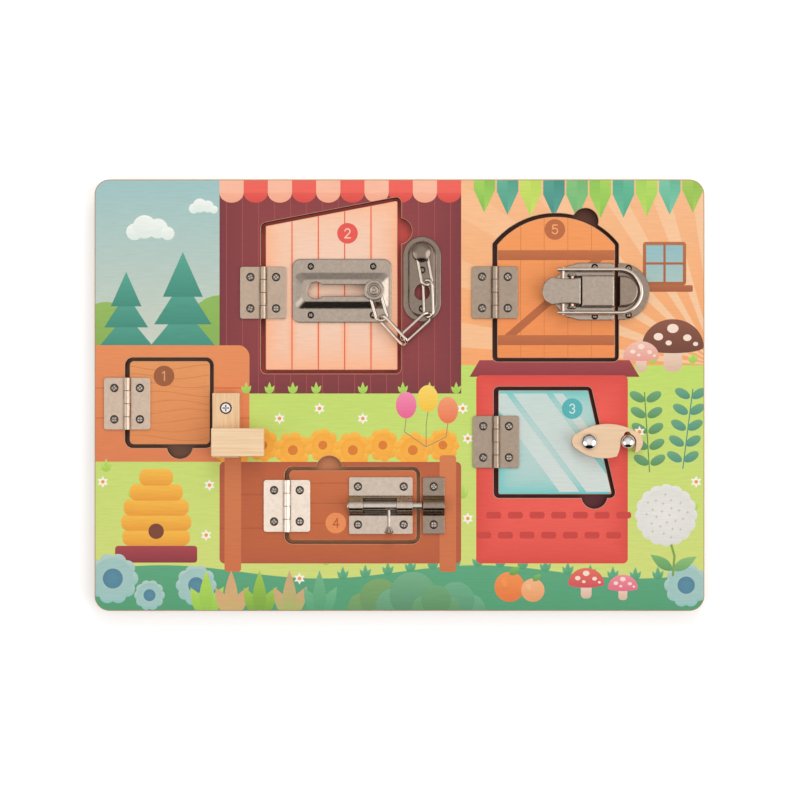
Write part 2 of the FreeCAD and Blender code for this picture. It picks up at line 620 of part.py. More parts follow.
def make_turn_latch():
    x, y = LATCH_PIVOT_X, LATCH_PIVOT_Y
    half = LATCH_BAR_WIDTH / 2
    z0 = FACE + LATCH_AIR
    z1 = z0 + LATCH_BAR_THICKNESS
    z2 = z1 + LATCH_BLOCK_THICKNESS
    bar = box(x - LATCH_BAR_REACH, x + LATCH_BAR_TAIL, y - half, y + half, z0, z1)
    bar = bar.makeFillet(LATCH_EDGE_ROUND, bar.Edges)
    bar = bar.cut(post(x, y, z0 - 1, z1 + 1, LATCH_SCREW_SHANK_RADIUS + PIN_CLEARANCE))
    bar = bar.cut(post(x, y, z1 - LATCH_COUNTERBORE_DEPTH, z1 + 1, LATCH_COUNTERBORE_RADIUS))
    left = x - LATCH_BAR_REACH + LATCH_BLOCK_INSET
    block = box(left, left + LATCH_BLOCK_LENGTH, y + half - LATCH_BLOCK_HEIGHT, y + half, z1, z2)
    block = block.makeFillet(LATCH_EDGE_ROUND, block.Edges)
    seat = z1 - LATCH_COUNTERBORE_DEPTH + LATCH_AIR
    head = post(x, y, seat, seat + LATCH_SCREW_HEAD_HEIGHT, LATCH_SCREW_HEAD_RADIUS)
    head = head.makeFillet(LATCH_EDGE_ROUND, edges_at(head, seat + LATCH_SCREW_HEAD_HEIGHT))
    head = head.fuse(post(x, y, FACE - LATCH_SCREW_DEPTH, seat, LATCH_SCREW_SHANK_RADIUS))
    top = seat + LATCH_SCREW_HEAD_HEIGHT
    a, b = 1.9, 0.4
    head = head.cut(box(x - a, x + a, y - b, y + b, top - 1.0, top + 1))
    head = head.cut(box(x - b, x + b, y - a, y + a, top - 1.0, top + 1))
    return turn_to_rest(bar), turn_to_rest(block), head.removeSplitter()


# Chain latch

def make_slot_plate():
    x, y = SLOT_PLATE_X, SLOT_PLATE_Y
    top = SLOT_PLATE_TOP
    plate = rounded_plate(x, y, SLOT_PLATE_LENGTH, SLOT_PLATE_HEIGHT, SLOT_PLATE_CORNER, FACE, top)
    plate = plate.fuse(frustum(x, y, (BOSS_LENGTH, BOSS_HEIGHT), (BOSS_TOP_LENGTH, BOSS_TOP_HEIGHT),
                               BOSS_CORNER, top, BOSS_TOP))
    wall = 2 * PLATE_SHEET
    plate = plate.cut(frustum(x, y, (BOSS_LENGTH - wall, BOSS_HEIGHT - wall),
                              (BOSS_TOP_LENGTH - wall, BOSS_TOP_HEIGHT - wall),
                              BOSS_CORNER - PLATE_SHEET, FACE, BOSS_TOP - PLATE_SHEET))
    w = SLOT_HALF_WIDTH
    slot = box(KEYHOLE_X, BUTTON_X, y - w, y + w, FACE, BOSS_TOP + 1)
    slot = slot.fuse(post(BUTTON_X, y, FACE, BOSS_TOP + 1, w))
    slot = slot.fuse(post(KEYHOLE_X, y, FACE, BOSS_TOP + 1, KEYHOLE_RADIUS))
    plate = plate.cut(slot)
    for sx, sy in slot_screw_places():
        plate = plate.cut(sink(sx, sy, top, SMALL_SCREW_HEAD_RADIUS, SMALL_SCREW_SHANK_RADIUS,
                               PLATE_SHEET))
    return plate.removeSplitter()


def slot_screw_places():
    return [(SLOT_PLATE_X + i * SLOT_SCREW_X, SLOT_PLATE_Y + j * SLOT_SCREW_Y)
            for i in (-1, 1) for j in (-1, 1)]


def make_button():
    """Foot under the slot, cut flat beside the boss wall. Link 1 turns between flange and cap."""
    x, y = BUTTON_X, SLOT_PLATE_Y
    foot_top = BOSS_TOP - PLATE_SHEET - BUTTON_CLEARANCE
    foot = post(x, y, foot_top - BUTTON_FOOT_THICKNESS, foot_top, BUTTON_FOOT_RADIUS)
    foot = foot.cut(box(x + BUTTON_FOOT_FLAT, x + BUTTON_FOOT_RADIUS + 1, y - BUTTON_FOOT_RADIUS,
                        y + BUTTON_FOOT_RADIUS, FACE, BOSS_TOP))
    stem = post(x, y, foot_top, BUTTON_FLANGE_Z, SLOT_HALF_WIDTH - BUTTON_CLEARANCE)
    flange = post(x, y, BUTTON_FLANGE_Z, BUTTON_FLANGE_Z + BUTTON_FLANGE_THICKNESS,
                  BUTTON_FLANGE_RADIUS)
    neck = post(x, y, BUTTON_FLANGE_Z, BUTTON_CAP_Z, BUTTON_NECK_RADIUS)
    cap = post(x, y, BUTTON_CAP_Z, BUTTON_CAP_Z + BUTTON_CAP_THICKNESS, BUTTON_CAP_RADIUS)
    top = BUTTON_CAP_Z + BUTTON_CAP_THICKNESS
    cap = cap.makeFillet(BUTTON_RIVET_RISE, edges_at(cap, top))
    rivet = post(x, y, top, top + BUTTON_RIVET_RISE, BUTTON_RIVET_RADIUS)
    rivet = rivet.cut(post(x, y, top, top + 1, BUTTON_RIVET_RADIUS / 2))
    groove = post(x, y, top - BUTTON_GROOVE_DEPTH, top + 1, BUTTON_GROOVE_RADIUS)
    cap = cap.cut(groove.cut(post(x, y, FACE, top + 1, BUTTON_RIVET_RADIUS)))
    return foot.fuse([stem, flange, neck, cap, rivet]).removeSplitter()


def make_anchor():
    """Oblong plate with a raised middle, a hooded post at its top and an open hole."""
    y0 = ANCHOR_BOTTOM + ANCHOR_WIDTH / 2
    y1 = ANCHOR_BOTTOM + ANCHOR_LENGTH - ANCHOR_WIDTH / 2
    r = ANCHOR_WIDTH / 2
    level = FACE + PLATE_SHEET
    plate = stadium(ANCHOR_X, y0, y1, r, FACE, level)
    raised = stadium(ANCHOR_X, y0, y1, r - ANCHOR_BRIM, level, ANCHOR_TOP)
    raised = raised.makeChamfer(ANCHOR_RISE - 0.05, edges_at(raised, ANCHOR_TOP))
    plate = plate.fuse(raised)
    x, y = HOOD_X, HOOD_Y
    roof = ANCHOR_TOP + HOOD_ROOM
    hood = post(x, y, ANCHOR_TOP, roof + HOOD_WALL, HOOD_RADIUS)
    hood = hood.fuse(dome(x, y, roof + HOOD_WALL, HOOD_RADIUS, HOOD_CROWN))
    hood = hood.cut(post(x, y, ANCHOR_TOP, roof, HOOD_RADIUS - HOOD_WALL))
    hood = hood.cut(box(x - HOOD_RADIUS - 1, x + HOOD_RADIUS + 1, y - HOOD_RADIUS - 1, y - 0.5,
                        ANCHOR_TOP, roof))
    plate = plate.fuse(hood)
    plate = plate.cut(post(ANCHOR_X, ANCHOR_HOLE_Y, FACE - 1, ANCHOR_TOP + 1, ANCHOR_HOLE_RADIUS))
    for sy in ANCHOR_SCREW_Y:
        plate = plate.cut(sink(ANCHOR_X, sy, ANCHOR_TOP, SMALL_SCREW_HEAD_RADIUS,
                               SMALL_SCREW_SHANK_RADIUS, PLATE_SHEET))
        plate = plate.cut(post(ANCHOR_X, sy, FACE - 1, ANCHOR_TOP,
                               SMALL_SCREW_SHANK_RADIUS + SCREW_CLEARANCE))
    pin = post(ANCHOR_POST_X, ANCHOR_POST_Y, ANCHOR_TOP, roof, ANCHOR_POST_RADIUS)
    return plate.removeSplitter(), pin


# Hook latch

def make_hook():
    """A comma of wood. Its slot runs round the pivot: wide for the stud's dome, then narrow."""
    def at(offset):
        return V(HOOK_PIVOT_X + offset[0], HOOK_PIVOT_Y + offset[1], 0)
    arcs = [(HOOK_LEFT_LOW, HOOK_LEFT_MIDDLE, HOOK_LEFT_HIGH),
            (HOOK_LEFT_HIGH, HOOK_TOP_MIDDLE, HOOK_RIGHT_HIGH),
            (HOOK_RIGHT_HIGH, HOOK_RIGHT_MIDDLE, HOOK_RIGHT_LOW),
            (HOOK_HEEL, HOOK_HEEL_MIDDLE, HOOK_LEFT_LOW)]
    arcs = [[at(offset) for offset in arc] for arc in arcs]
    edges = [Part.Arc(a, b, c).toShape() for a, b, c in arcs[:3]]
    edges.append(Part.LineSegment(arcs[2][2], arcs[3][0]).toShape())
    edges.append(Part.Arc(*arcs[3]).toShape())
    z0 = FACE + HOOK_AIR
    z1 = z0 + HOOK_THICKNESS
    body = prism(Part.Wire(edges), z0, z1)
    x, y = HOOK_PIVOT_X, HOOK_PIVOT_Y
    inner = HOOK_STUD_REACH - STUD_DOME_RADIUS - STUD_DOME_PLAY_IN
    outer = HOOK_STUD_REACH + STUD_DOME_RADIUS + STUD_DOME_PLAY_OUT
    ring = post(x, y, z0 - 1, z1 + 1, outer).cut(post(x, y, z0 - 1, z1 + 1, inner))
    wide = ring.common(box(x, x + outer + 1, y - outer, y, z0 - 1, z1 + 1))
    middle = (inner + outer) / 2
    top = (outer - inner) / 2
    crown = post(x + middle, y, z0 - 1, z1 + 1, top)
    neck = STUD_NECK_RADIUS + STUD_NECK_PLAY
    thin = post(x, y, z0 - 1, z1 + 1, HOOK_STUD_REACH + neck)
    thin = thin.cut(post(x, y, z0 - 1, z1 + 1, HOOK_STUD_REACH - neck))
    turn = math.radians(HOOK_LOCK_TURN)
    end_x, end_y = x + HOOK_STUD_REACH * math.cos(turn), y + HOOK_STUD_REACH * math.sin(turn)
    far = 2 * HOOK_STUD_REACH
    wedge = prism(Part.makePolygon([V(x, y, 0), V(x + far, y, 0),
                                    V(x + far, y + far * math.tan(turn), 0), V(x, y, 0)]),
                  z0 - 1, z1 + 1)
    thin = thin.common(wedge).fuse(post(end_x, end_y, z0 - 1, z1 + 1, neck))
    body = body.cut(wide.fuse([crown, thin]))
    body = max(body.Solids, key=lambda s: s.Volume)
    body = body.cut(post(x, y, z0 - 1, z1 + 1, PIVOT_SHANK_RADIUS + PIN_CLEARANCE))
    return body.removeSplitter()


def make_dome_screw(x, y, shank_r, depth, dome_r, rise):
    """A polished dome head on a plain shank."""
    seat = FACE + HOOK_AIR + HOOK_THICKNESS + DOME_AIR
    head = dome(x, y, seat, dome_r, rise)
    return head.fuse(post(x, y, FACE - depth, seat, shank_r)).removeSplitter()


# Barrel bolt

BOLT_AXIS_Z = FACE + BOLT_ROD_AIR + BOLT_ROD_RADIUS
BARREL_IN = BOLT_SLEEVE_RADIUS + BOLT_BARREL_PLAY
BARREL_OUT = BARREL_IN + BOLT_SHEET


def strap(x0, x1, y, height):
    """A sheet over a rod: flat flanges, a slope up each side and a round top."""
    low, high = FACE, FACE + BOLT_SHEET
    half = height / 2
    foot = BARREL_OUT + BOLT_FILLET_REACH
    hump = rod_x(x0, x1, y, BOLT_AXIS_Z, BARREL_OUT)
    ramp = Part.makePolygon([V(x0, y - foot, low), V(x0, y + foot, low), V(x0, y + foot, high),
                             V(x0, y + BARREL_OUT * 0.92, BOLT_AXIS_Z + 0.6),
                             V(x0, y - BARREL_OUT * 0.92, BOLT_AXIS_Z + 0.6),
                             V(x0, y - foot, high), V(x0, y - foot, low)])
    hump = hump.fuse(Part.Face(ramp).extrude(V(x1 - x0, 0, 0)))
    hump = hump.fuse(box(x0, x1, y - half, y + half, low, high))
    hump = hump.cut(box(x0 - 1, x1 + 1, y - half - 1, y + half + 1, low - 10, low))
    bore = rod_x(x0 - 1, x1 + 1, y, BOLT_AXIS_Z, BARREL_IN)
    bore = bore.fuse(box(x0 - 1, x1 + 1, y - BARREL_IN, y + BARREL_IN, low - 1, BOLT_AXIS_Z))
    return hump.cut(bore)


def bolt_screw_places():
    return [(BOLT_X + i * BOLT_SCREW_X, BOLT_Y + j * BOLT_SCREW_Y) for i in (-1, 1) for j in (-1, 1)]


def keeper_screw_places():
    x = KEEPER_LEFT + KEEPER_LENGTH / 2
    return [(x, BOLT_Y - BOLT_SCREW_Y), (x, BOLT_Y + BOLT_SCREW_Y)]


def round_sheet_corners(shape, x0, x1, y, height):
    """Rounds the four outer corners of a strap's flanges."""
    half = height / 2
    frame = rounded_plate((x0 + x1) / 2, y, x1 - x0, height, BOLT_CORNER, FACE, FACE + 10)
    return shape.common(frame)


def make_bolt_body():
    x0, x1 = BOLT_X - BOLT_LENGTH / 2, BOLT_X + BOLT_LENGTH / 2
    body = strap(x0, x1, BOLT_Y, BOLT_HEIGHT)
    shoulder = BARREL_OUT + BOLT_FILLET_REACH - BOLT_WINDOW_SHOULDER
    body = body.cut(box(x0 + BOLT_KNUCKLE_LEFT, x1 - BOLT_KNUCKLE_RIGHT, BOLT_Y - shoulder,
                        BOLT_Y + shoulder, FACE - 1, BOLT_AXIS_Z + BARREL_OUT + 1))
    body = round_sheet_corners(body, x0, x1, BOLT_Y, BOLT_HEIGHT)
    for x, y in bolt_screw_places():
        body = body.cut(sink(x, y, FACE + BOLT_SHEET, SCREW_HEAD_RADIUS, SCREW_SHANK_RADIUS,
                             BOLT_SHEET))
    return body.removeSplitter()


def make_keeper():
    x0, x1 = KEEPER_LEFT, KEEPER_LEFT + KEEPER_LENGTH
    keeper = round_sheet_corners(strap(x0, x1, BOLT_Y, BOLT_HEIGHT), x0, x1, BOLT_Y, BOLT_HEIGHT)
    for x, y in keeper_screw_places():
        keeper = keeper.cut(sink(x, y, FACE + BOLT_SHEET, SCREW_HEAD_RADIUS, SCREW_SHANK_RADIUS,
                                 BOLT_SHEET))
    return keeper.removeSplitter()


def make_rod():
    """The sliding rod, thicker where the window shows it."""
    x0 = BOLT_X - BOLT_LENGTH / 2 - BOLT_TAIL
    x1 = KEEPER_LEFT - BOLT_TIP_GAP
    rod = rod_x(x0, x1, BOLT_Y, BOLT_AXIS_Z, BOLT_ROD_RADIUS)
    rod = rod.makeFillet(EDGE_ROUND, [e for e in rod.Edges if e.BoundBox.XLength < 1e-6])
    sleeve = rod_x(BOLT_X - BOLT_LENGTH / 2 + BOLT_KNUCKLE_LEFT - 2,
                   BOLT_X + BOLT_LENGTH / 2 - BOLT_KNUCKLE_RIGHT + 2,
                   BOLT_Y, BOLT_AXIS_Z, BOLT_SLEEVE_RADIUS - BOLT_ROD_AIR / 2)
    rod = rod.fuse(sleeve)
    socket = Part.makeCylinder(HANDLE_RADIUS, HANDLE_LENGTH, V(HANDLE_X, BOLT_Y, BOLT_AXIS_Z),
                               handle_way())
    return rod.cut(socket).removeSplitter()


def handle_way():
    tilt = math.radians(HANDLE_TILT)
    return V(0, -math.cos(tilt), math.sin(tilt))


def make_handle():
    """The handle pin: set in the rod, flared at its end."""
    start = V(HANDLE_X, BOLT_Y, BOLT_AXIS_Z)
    way = handle_way()
    stem = Part.makeCylinder(HANDLE_RADIUS, HANDLE_LENGTH - HANDLE_FLARE, start, way)
    flare = Part.makeCone(HANDLE_RADIUS, HANDLE_END_RADIUS, HANDLE_FLARE,
                          start + way * (HANDLE_LENGTH - HANDLE_FLARE), way)
    rim = dome_along(start + way * HANDLE_LENGTH, way, HANDLE_END_RADIUS, 0.8)
    return stem.fuse([flare, rim]).removeSplitter()


def dome_along(point, way, r, rise):
    """A spherical cap of base radius r on a point, facing along way."""
    ball = (r * r + rise * rise) / (2 * rise)
    cap = Part.makeSphere(ball, point + way * (rise - ball))
    return cap.common(Part.makeCylinder(r + 1, rise + 1, point, way))


# Draw latch

DRAW_TOP = FACE + DRAW_SHEET
LEVER_PIVOT_Z = FACE + LEVER_PIVOT_RISE
HOUSING_TOP = FACE + HOUSING_RISE


def draw_screw_places():
    return [(DRAW_SCREW_X, DRAW_Y - DRAW_SCREW_Y), (DRAW_SCREW_X, DRAW_Y + DRAW_SCREW_Y)]


def catch_screw_places():
    return [(CATCH_SCREW_X, DRAW_Y - CATCH_SCREW_Y), (CATCH_SCREW_X, DRAW_Y + CATCH_SCREW_Y)]


def make_draw_base():
    """The base on the door: a plate with a narrow nose, a boxed housing and two ears."""
    y = DRAW_Y
    n, h = DRAW_NOSE_HEIGHT / 2, DRAW_BASE_HEIGHT / 2
    x0, x1 = DRAW_BASE_LEFT, DRAW_BASE_RIGHT
    points = [V(x0, y - n, 0), V(x0 + DRAW_NOSE_LENGTH, y - h + 2, 0),
              V(x0 + 2 * DRAW_NOSE_LENGTH, y - h, 0), V(x1, y - h, 0), V(x1, y + h, 0),
              V(x0 + 2 * DRAW_NOSE_LENGTH, y + h, 0), V(x0 + DRAW_NOSE_LENGTH, y + h - 2, 0),
              V(x0, y + n, 0)]
    base = prism(outline(points, 1.4), FACE, DRAW_TOP)
    g = HOUSING_HEIGHT / 2
    box_out = box(HOUSING_LEFT, HOUSING_RIGHT, y - g, y + g, DRAW_TOP, HOUSING_TOP)
    top_edges = [e for e in edges_at(box_out, HOUSING_TOP)]
    box_out = box_out.makeFillet(1.0, top_edges)
    w = DRAW_SHEET
    box_in = box(HOUSING_LEFT + w, HOUSING_RIGHT + 1, y - g + w, y + g - w, FACE - 1, HOUSING_TOP - w)
    ear_x0, ear_x1 = LEVER_PIVOT_X - 2.4, LEVER_PIVOT_X + 2.4
    base = base.fuse(box_out)
    for side in (-1, 1):
        a, b = sorted((y + side * EAR_OUT, y + side * (EAR_OUT + EAR_SHEET)))
        ear = box(ear_x0, ear_x1, a, b, FACE, LEVER_PIVOT_Z)
        ear = ear.fuse(rod_y(LEVER_PIVOT_X, a, b, LEVER_PIVOT_Z, 2.4))
        base = base.fuse(ear)
    base = base.cut(box_in)
    pin_r = DRAW_PIN_RADIUS + PIN_CLEARANCE
    base = base.cut(rod_y(LEVER_PIVOT_X, y - h, y + h, LEVER_PIVOT_Z, pin_r))
    window_x0 = LEVER_PIVOT_X - 1.5
    base = base.cut(box(window_x0, HOUSING_LEFT, y - EAR_OUT, y + EAR_OUT, FACE - 1, DRAW_TOP + 0.5))
    for sx, sy in draw_screw_places():
        base = base.cut(sink(sx, sy, DRAW_TOP, SMALL_SCREW_HEAD_RADIUS, SMALL_SCREW_SHANK_RADIUS,
                             DRAW_SHEET))
    return base.removeSplitter()


LEVER_TOP = LEVER_PIVOT_Z + DRAW_PIN_RADIUS + 0.2 + LEVER_SHEET


def make_lever():
    """The lever: a waisted sheet with a round thumb end and two side walls for its pins."""
    y = DRAW_Y
    h = LEVER_HEIGHT / 2
    x0, x1 = LEVER_LEFT, LEVER_PIVOT_X + LEVER_RIGHT_REACH
    shoulder = x0 + 6.0
    waist = h - LEVER_WAIST
    low = LEVER_TOP - LEVER_SHEET
    mid = (shoulder + x1) / 2
    edges = [Part.Arc(V(shoulder, y + h, 0), V(x0, y, 0), V(shoulder, y - h, 0)).toShape(),
             Part.Arc(V(shoulder, y - h, 0), V(mid, y - waist, 0), V(x1, y - h + 0.4, 0)).toShape(),
             Part.LineSegment(V(x1, y - h + 0.4, 0), V(x1, y + h - 0.4, 0)).toShape(),
             Part.Arc(V(x1, y + h - 0.4, 0), V(mid, y + waist, 0), V(shoulder, y + h, 0)).toShape()]
    plate = prism(Part.Wire(edges), low, LEVER_TOP)
    plate = plate.makeFillet(0.6, edges_at(plate, LEVER_TOP))
    pin_x = LEVER_PIVOT_X - BAIL_PIN_REACH
    for side in (-1, 1):
        a, b = sorted((y + side * (waist - 0.4 - LEVER_SHEET), y + side * (waist - 0.4)))
        wall = box(pin_x - 2.2, LEVER_PIVOT_X + 2.0, a, b, LEVER_PIVOT_Z - LEVER_SKIRT, low)
        plate = plate.fuse(wall)
    bore = DRAW_PIN_RADIUS + PIN_CLEARANCE
    plate = plate.cut(rod_y(LEVER_PIVOT_X, y - 20, y + 20, LEVER_PIVOT_Z, bore))
    plate = plate.cut(rod_y(pin_x, y - 20, y + 20, LEVER_PIVOT_Z, bore))
    return plate.removeSplitter()


def make_bail():
    """The U-shaped wire that the lever draws round the tongue."""
    y, z = DRAW_Y, LEVER_PIVOT_Z
    r, w = BAIL_WIRE_RADIUS, BAIL_HALF_WIDTH
    x0 = LEVER_PIVOT_X - BAIL_PIN_REACH
    bend = Part.makeTorus(w, r, V(BAIL_ARC_X, y, z), V(0, 0, 1), -180, 180, 180)
    bend.rotate(V(BAIL_ARC_X, y, z), V(0, 0, 1), -90)
    bail = bend
    for side in (-1, 1):
        arm = rod_x(x0 - BAIL_TAIL, BAIL_ARC_X, y + side * w, z, r)
        bail = bail.fuse(arm)
    bore = DRAW_PIN_RADIUS + PIN_CLEARANCE
    bail = bail.cut(rod_y(x0, y - 20, y + 20, z, bore))
    return bail.removeSplitter()


def make_catch():
    """The catch plate on the face panel with its raised D-shaped tongue."""
    y = DRAW_Y
    r = CATCH_HALF_HEIGHT
    edges = [Part.LineSegment(V(CATCH_LEFT, y + r, 0), V(CATCH_LEFT, y - r, 0)).toShape(),
             Part.LineSegment(V(CATCH_LEFT, y - r, 0), V(CATCH_ARC_X, y - r, 0)).toShape(),
             Part.Arc(V(CATCH_ARC_X, y - r, 0), V(CATCH_ARC_X + r, y, 0),
                      V(CATCH_ARC_X, y + r, 0)).toShape(),
             Part.LineSegment(V(CATCH_ARC_X, y + r, 0), V(CATCH_LEFT, y + r, 0)).toShape()]
    plate = prism(Part.Wire(edges), FACE, DRAW_TOP)
    t = TONGUE_HALF_HEIGHT
    right = BAIL_ARC_X + BAIL_HALF_WIDTH - BAIL_WIRE_RADIUS - TONGUE_PLAY
    centre = right - t
    edges = [Part.LineSegment(V(TONGUE_LEFT, y + t, 0), V(TONGUE_LEFT, y - t, 0)).toShape(),
             Part.LineSegment(V(TONGUE_LEFT, y - t, 0), V(centre, y - t, 0)).toShape(),
             Part.Arc(V(centre, y - t, 0), V(right, y, 0), V(centre, y + t, 0)).toShape(),
             Part.LineSegment(V(centre, y + t, 0), V(TONGUE_LEFT, y + t, 0)).toShape()]
    tongue = prism(Part.Wire(edges), DRAW_TOP, FACE + TONGUE_RISE)
    tongue = tongue.makeFillet(TONGUE_ROUND, edges_at(tongue, FACE + TONGUE_RISE))
    plate = plate.fuse(tongue)
    for sx, sy in catch_screw_places():
        plate = plate.cut(sink(sx, sy, DRAW_TOP, SMALL_SCREW_HEAD_RADIUS, SMALL_SCREW_SHANK_RADIUS,
                               DRAW_SHEET))
    return plate.removeSplitter()


# Writing the pieces

def door_pilots(number):
    """Holes in each door for what is screwed to it."""
    shape_of, left, corner, hinge_y = DOORS[number - 1]
    depth = FACE - DOOR_UNDER - 0.4
    holes = [pilot(x, y, FACE, SCREW_SHANK_RADIUS, depth)
             for x, y in hinge_screw_places(left, hinge_y, 1)]
    if number == 2:
        holes += [pilot(x, y, FACE, SMALL_SCREW_SHANK_RADIUS, depth) for x, y in slot_screw_places()]
    if number == 3:
        holes.append(pilot(HOOK_PIVOT_X, HOOK_PIVOT_Y, FACE, PIVOT_SHANK_RADIUS, depth))
    if number == 4:
        holes += [pilot(x, y, FACE, SCREW_SHANK_RADIUS, depth) for x, y in bolt_screw_places()]
    if number == 5:
        holes += [pilot(x, y, FACE, SMALL_SCREW_SHANK_RADIUS, depth) for x, y in draw_screw_places()]
    return holes


def save_screws(name, places, seat, head_r, shank_r, sheet, length):
    save(name, Part.makeCompound(sheet_screws(places, seat, head_r, shank_r, sheet, length)))


def save_all():
    back, front = make_panels()
    save("back_panel", back)
    save("front_panel", front)
    short = FACE - DOOR_UNDER - 0.6
    frame_screws = []
    leaf_top = FACE + HINGE_SHEET
    for number, (shape_of, left, corner, hinge_y) in enumerate(DOORS, 1):
        door = make_door(shape_of, left, corner)
        for hole in door_pilots(number):
            door = door.cut(hole)
        save(f"door_{number}", door)
        save(f"hinge_{number}_frame_leaf", hinge_leaf(left, hinge_y, -1))
        save(f"hinge_{number}_door_leaf", hinge_leaf(left, hinge_y, 1))
        save(f"hinge_{number}_pin", hinge_pin(left, hinge_y))
        frame_screws += hinge_screw_places(left, hinge_y, -1)
        save_screws(f"hinge_{number}_door_screws", hinge_screw_places(left, hinge_y, 1), leaf_top,
                    SCREW_HEAD_RADIUS, SCREW_SHANK_RADIUS, HINGE_SHEET, short)
    save_screws("hinge_frame_screws", frame_screws, leaf_top, SCREW_HEAD_RADIUS, SCREW_SHANK_RADIUS,
                HINGE_SHEET, SCREW_LENGTH)

    bar, block, pivot = make_turn_latch()
    save("turn_latch_bar", bar)
    save("turn_latch_block", block)
    save("turn_latch_screw", pivot)

    save("slot_plate", make_slot_plate())
    save_screws("slot_plate_screws", slot_screw_places(), SLOT_PLATE_TOP, SMALL_SCREW_HEAD_RADIUS,
                SMALL_SCREW_SHANK_RADIUS, PLATE_SHEET, short)
    save("chain_button", make_button())
    for number, link in enumerate(make_chain(), 1):
        save(f"chain_link_{number}", link)
    anchor, pin = make_anchor()
    save("anchor_plate", anchor)
    save("anchor_post", pin)
    save_screws("anchor_screws", [(ANCHOR_X, y) for y in ANCHOR_SCREW_Y], ANCHOR_TOP,
                SMALL_SCREW_HEAD_RADIUS, SMALL_SCREW_SHANK_RADIUS, PLATE_SHEET,
                SCREW_LENGTH + ANCHOR_RISE)

    save("hook", make_hook())
    save("hook_pivot_screw", make_dome_screw(HOOK_PIVOT_X, HOOK_PIVOT_Y, PIVOT_SHANK_RADIUS,
                                             short, PIVOT_DOME_RADIUS, PIVOT_DOME_RISE))
    save("hook_stud", make_dome_screw(HOOK_PIVOT_X + HOOK_STUD_REACH, HOOK_PIVOT_Y, STUD_NECK_RADIUS,
                                      STUD_DEPTH, STUD_DOME_RADIUS, STUD_DOME_RISE))

    save("bolt_body", make_bolt_body())
    save("bolt_rod", make_rod())
    save("bolt_handle", make_handle())
    save("bolt_keeper", make_keeper())
    save_screws("bolt_body_screws", bolt_screw_places(), FACE + BOLT_SHEET, SCREW_HEAD_RADIUS,
                SCREW_SHANK_RADIUS, BOLT_SHEET, short)
    save_screws("bolt_keeper_screws", keeper_screw_places(), FACE + BOLT_SHEET, SCREW_HEAD_RADIUS,
                SCREW_SHANK_RADIUS, BOLT_SHEET, SCREW_LENGTH)

    save("draw_latch_base", make_draw_base())
    save("draw_latch_lever", make_lever())
    save("draw_latch_bail", make_bail())
    save("draw_latch_catch", make_catch())
    half = EAR_OUT + EAR_SHEET
    save("lever_pin", rod_y(LEVER_PIVOT_X, DRAW_Y - half, DRAW_Y + half, LEVER_PIVOT_Z,
                            DRAW_PIN_RADIUS))
    half = BAIL_HALF_WIDTH + BAIL_WIRE_RADIUS
    save("bail_pin", rod_y(LEVER_PIVOT_X - BAIL_PIN_REACH, DRAW_Y - half, DRAW_Y + half,
                           LEVER_PIVOT_Z, DRAW_PIN_RADIUS))
    save_screws("draw_latch_screws", draw_screw_places(), DRAW_TOP, SMALL_SCREW_HEAD_RADIUS,
                SMALL_SCREW_SHANK_RADIUS, DRAW_SHEET, short)
    save_screws("catch_screws", catch_screw_places(), DRAW_TOP, SMALL_SCREW_HEAD_RADIUS,
                SMALL_SCREW_SHANK_RADIUS, DRAW_SHEET, SCREW_LENGTH)


save_all()
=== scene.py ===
"""The looks of a wooden busy board with five latched doors.

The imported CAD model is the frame: its panels, doors, hinges and latches are
shown as they are, with materials. Added here are the printed films on the
face, on each door and at the bottom of each opening. A film is a flat sheet
cut into triangles along the outlines of its printed shapes, and each
triangle's corners take the ink of the uppermost shape that covers it.
Measures of the artwork are in millimetres from the middle of the board.
"""

import math

import bmesh
import bpy
import numpy as np
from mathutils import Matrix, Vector, geometry


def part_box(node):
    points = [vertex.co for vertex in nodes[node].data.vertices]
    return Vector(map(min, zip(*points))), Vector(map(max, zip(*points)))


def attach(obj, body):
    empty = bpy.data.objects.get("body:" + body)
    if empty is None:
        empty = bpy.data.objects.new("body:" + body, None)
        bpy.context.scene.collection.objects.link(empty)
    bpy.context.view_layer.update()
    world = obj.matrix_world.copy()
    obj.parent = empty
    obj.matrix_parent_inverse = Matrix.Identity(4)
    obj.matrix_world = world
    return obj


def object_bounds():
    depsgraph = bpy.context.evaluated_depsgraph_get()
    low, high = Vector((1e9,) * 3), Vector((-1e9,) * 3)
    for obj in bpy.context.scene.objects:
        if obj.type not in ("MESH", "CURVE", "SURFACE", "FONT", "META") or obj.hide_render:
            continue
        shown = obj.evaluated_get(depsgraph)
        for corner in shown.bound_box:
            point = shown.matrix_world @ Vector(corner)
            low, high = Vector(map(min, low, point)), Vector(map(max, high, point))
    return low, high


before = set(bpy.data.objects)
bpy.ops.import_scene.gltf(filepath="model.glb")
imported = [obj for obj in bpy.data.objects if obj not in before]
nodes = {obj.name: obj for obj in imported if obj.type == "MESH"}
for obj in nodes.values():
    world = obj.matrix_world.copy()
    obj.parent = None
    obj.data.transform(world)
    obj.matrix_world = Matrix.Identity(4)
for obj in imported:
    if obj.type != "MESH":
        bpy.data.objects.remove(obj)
cad_low, cad_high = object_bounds()

MM = 0.001                  # a millimetre in Blender's metres

# Printed films, in millimetres
FILM_LIFT = 0.05            # a film's height above its wood
INK_STEP = 3.5              # distance between the loose points inside a film
OPENING_SIZE = 12.0         # a closed edge narrower than this is a screw hole
FACE_DEPTH = 0.004          # points this little below the highest one are on the top face
MERGE = 1e-5                # outlines that come this close share their points
DISC_RADIUS = 6.2           # the disc behind a door number
NUMBER_WIDTH = 0.75         # the stroke of a door number
UNDER_RADIUS = 120          # wide enough to fill the largest opening

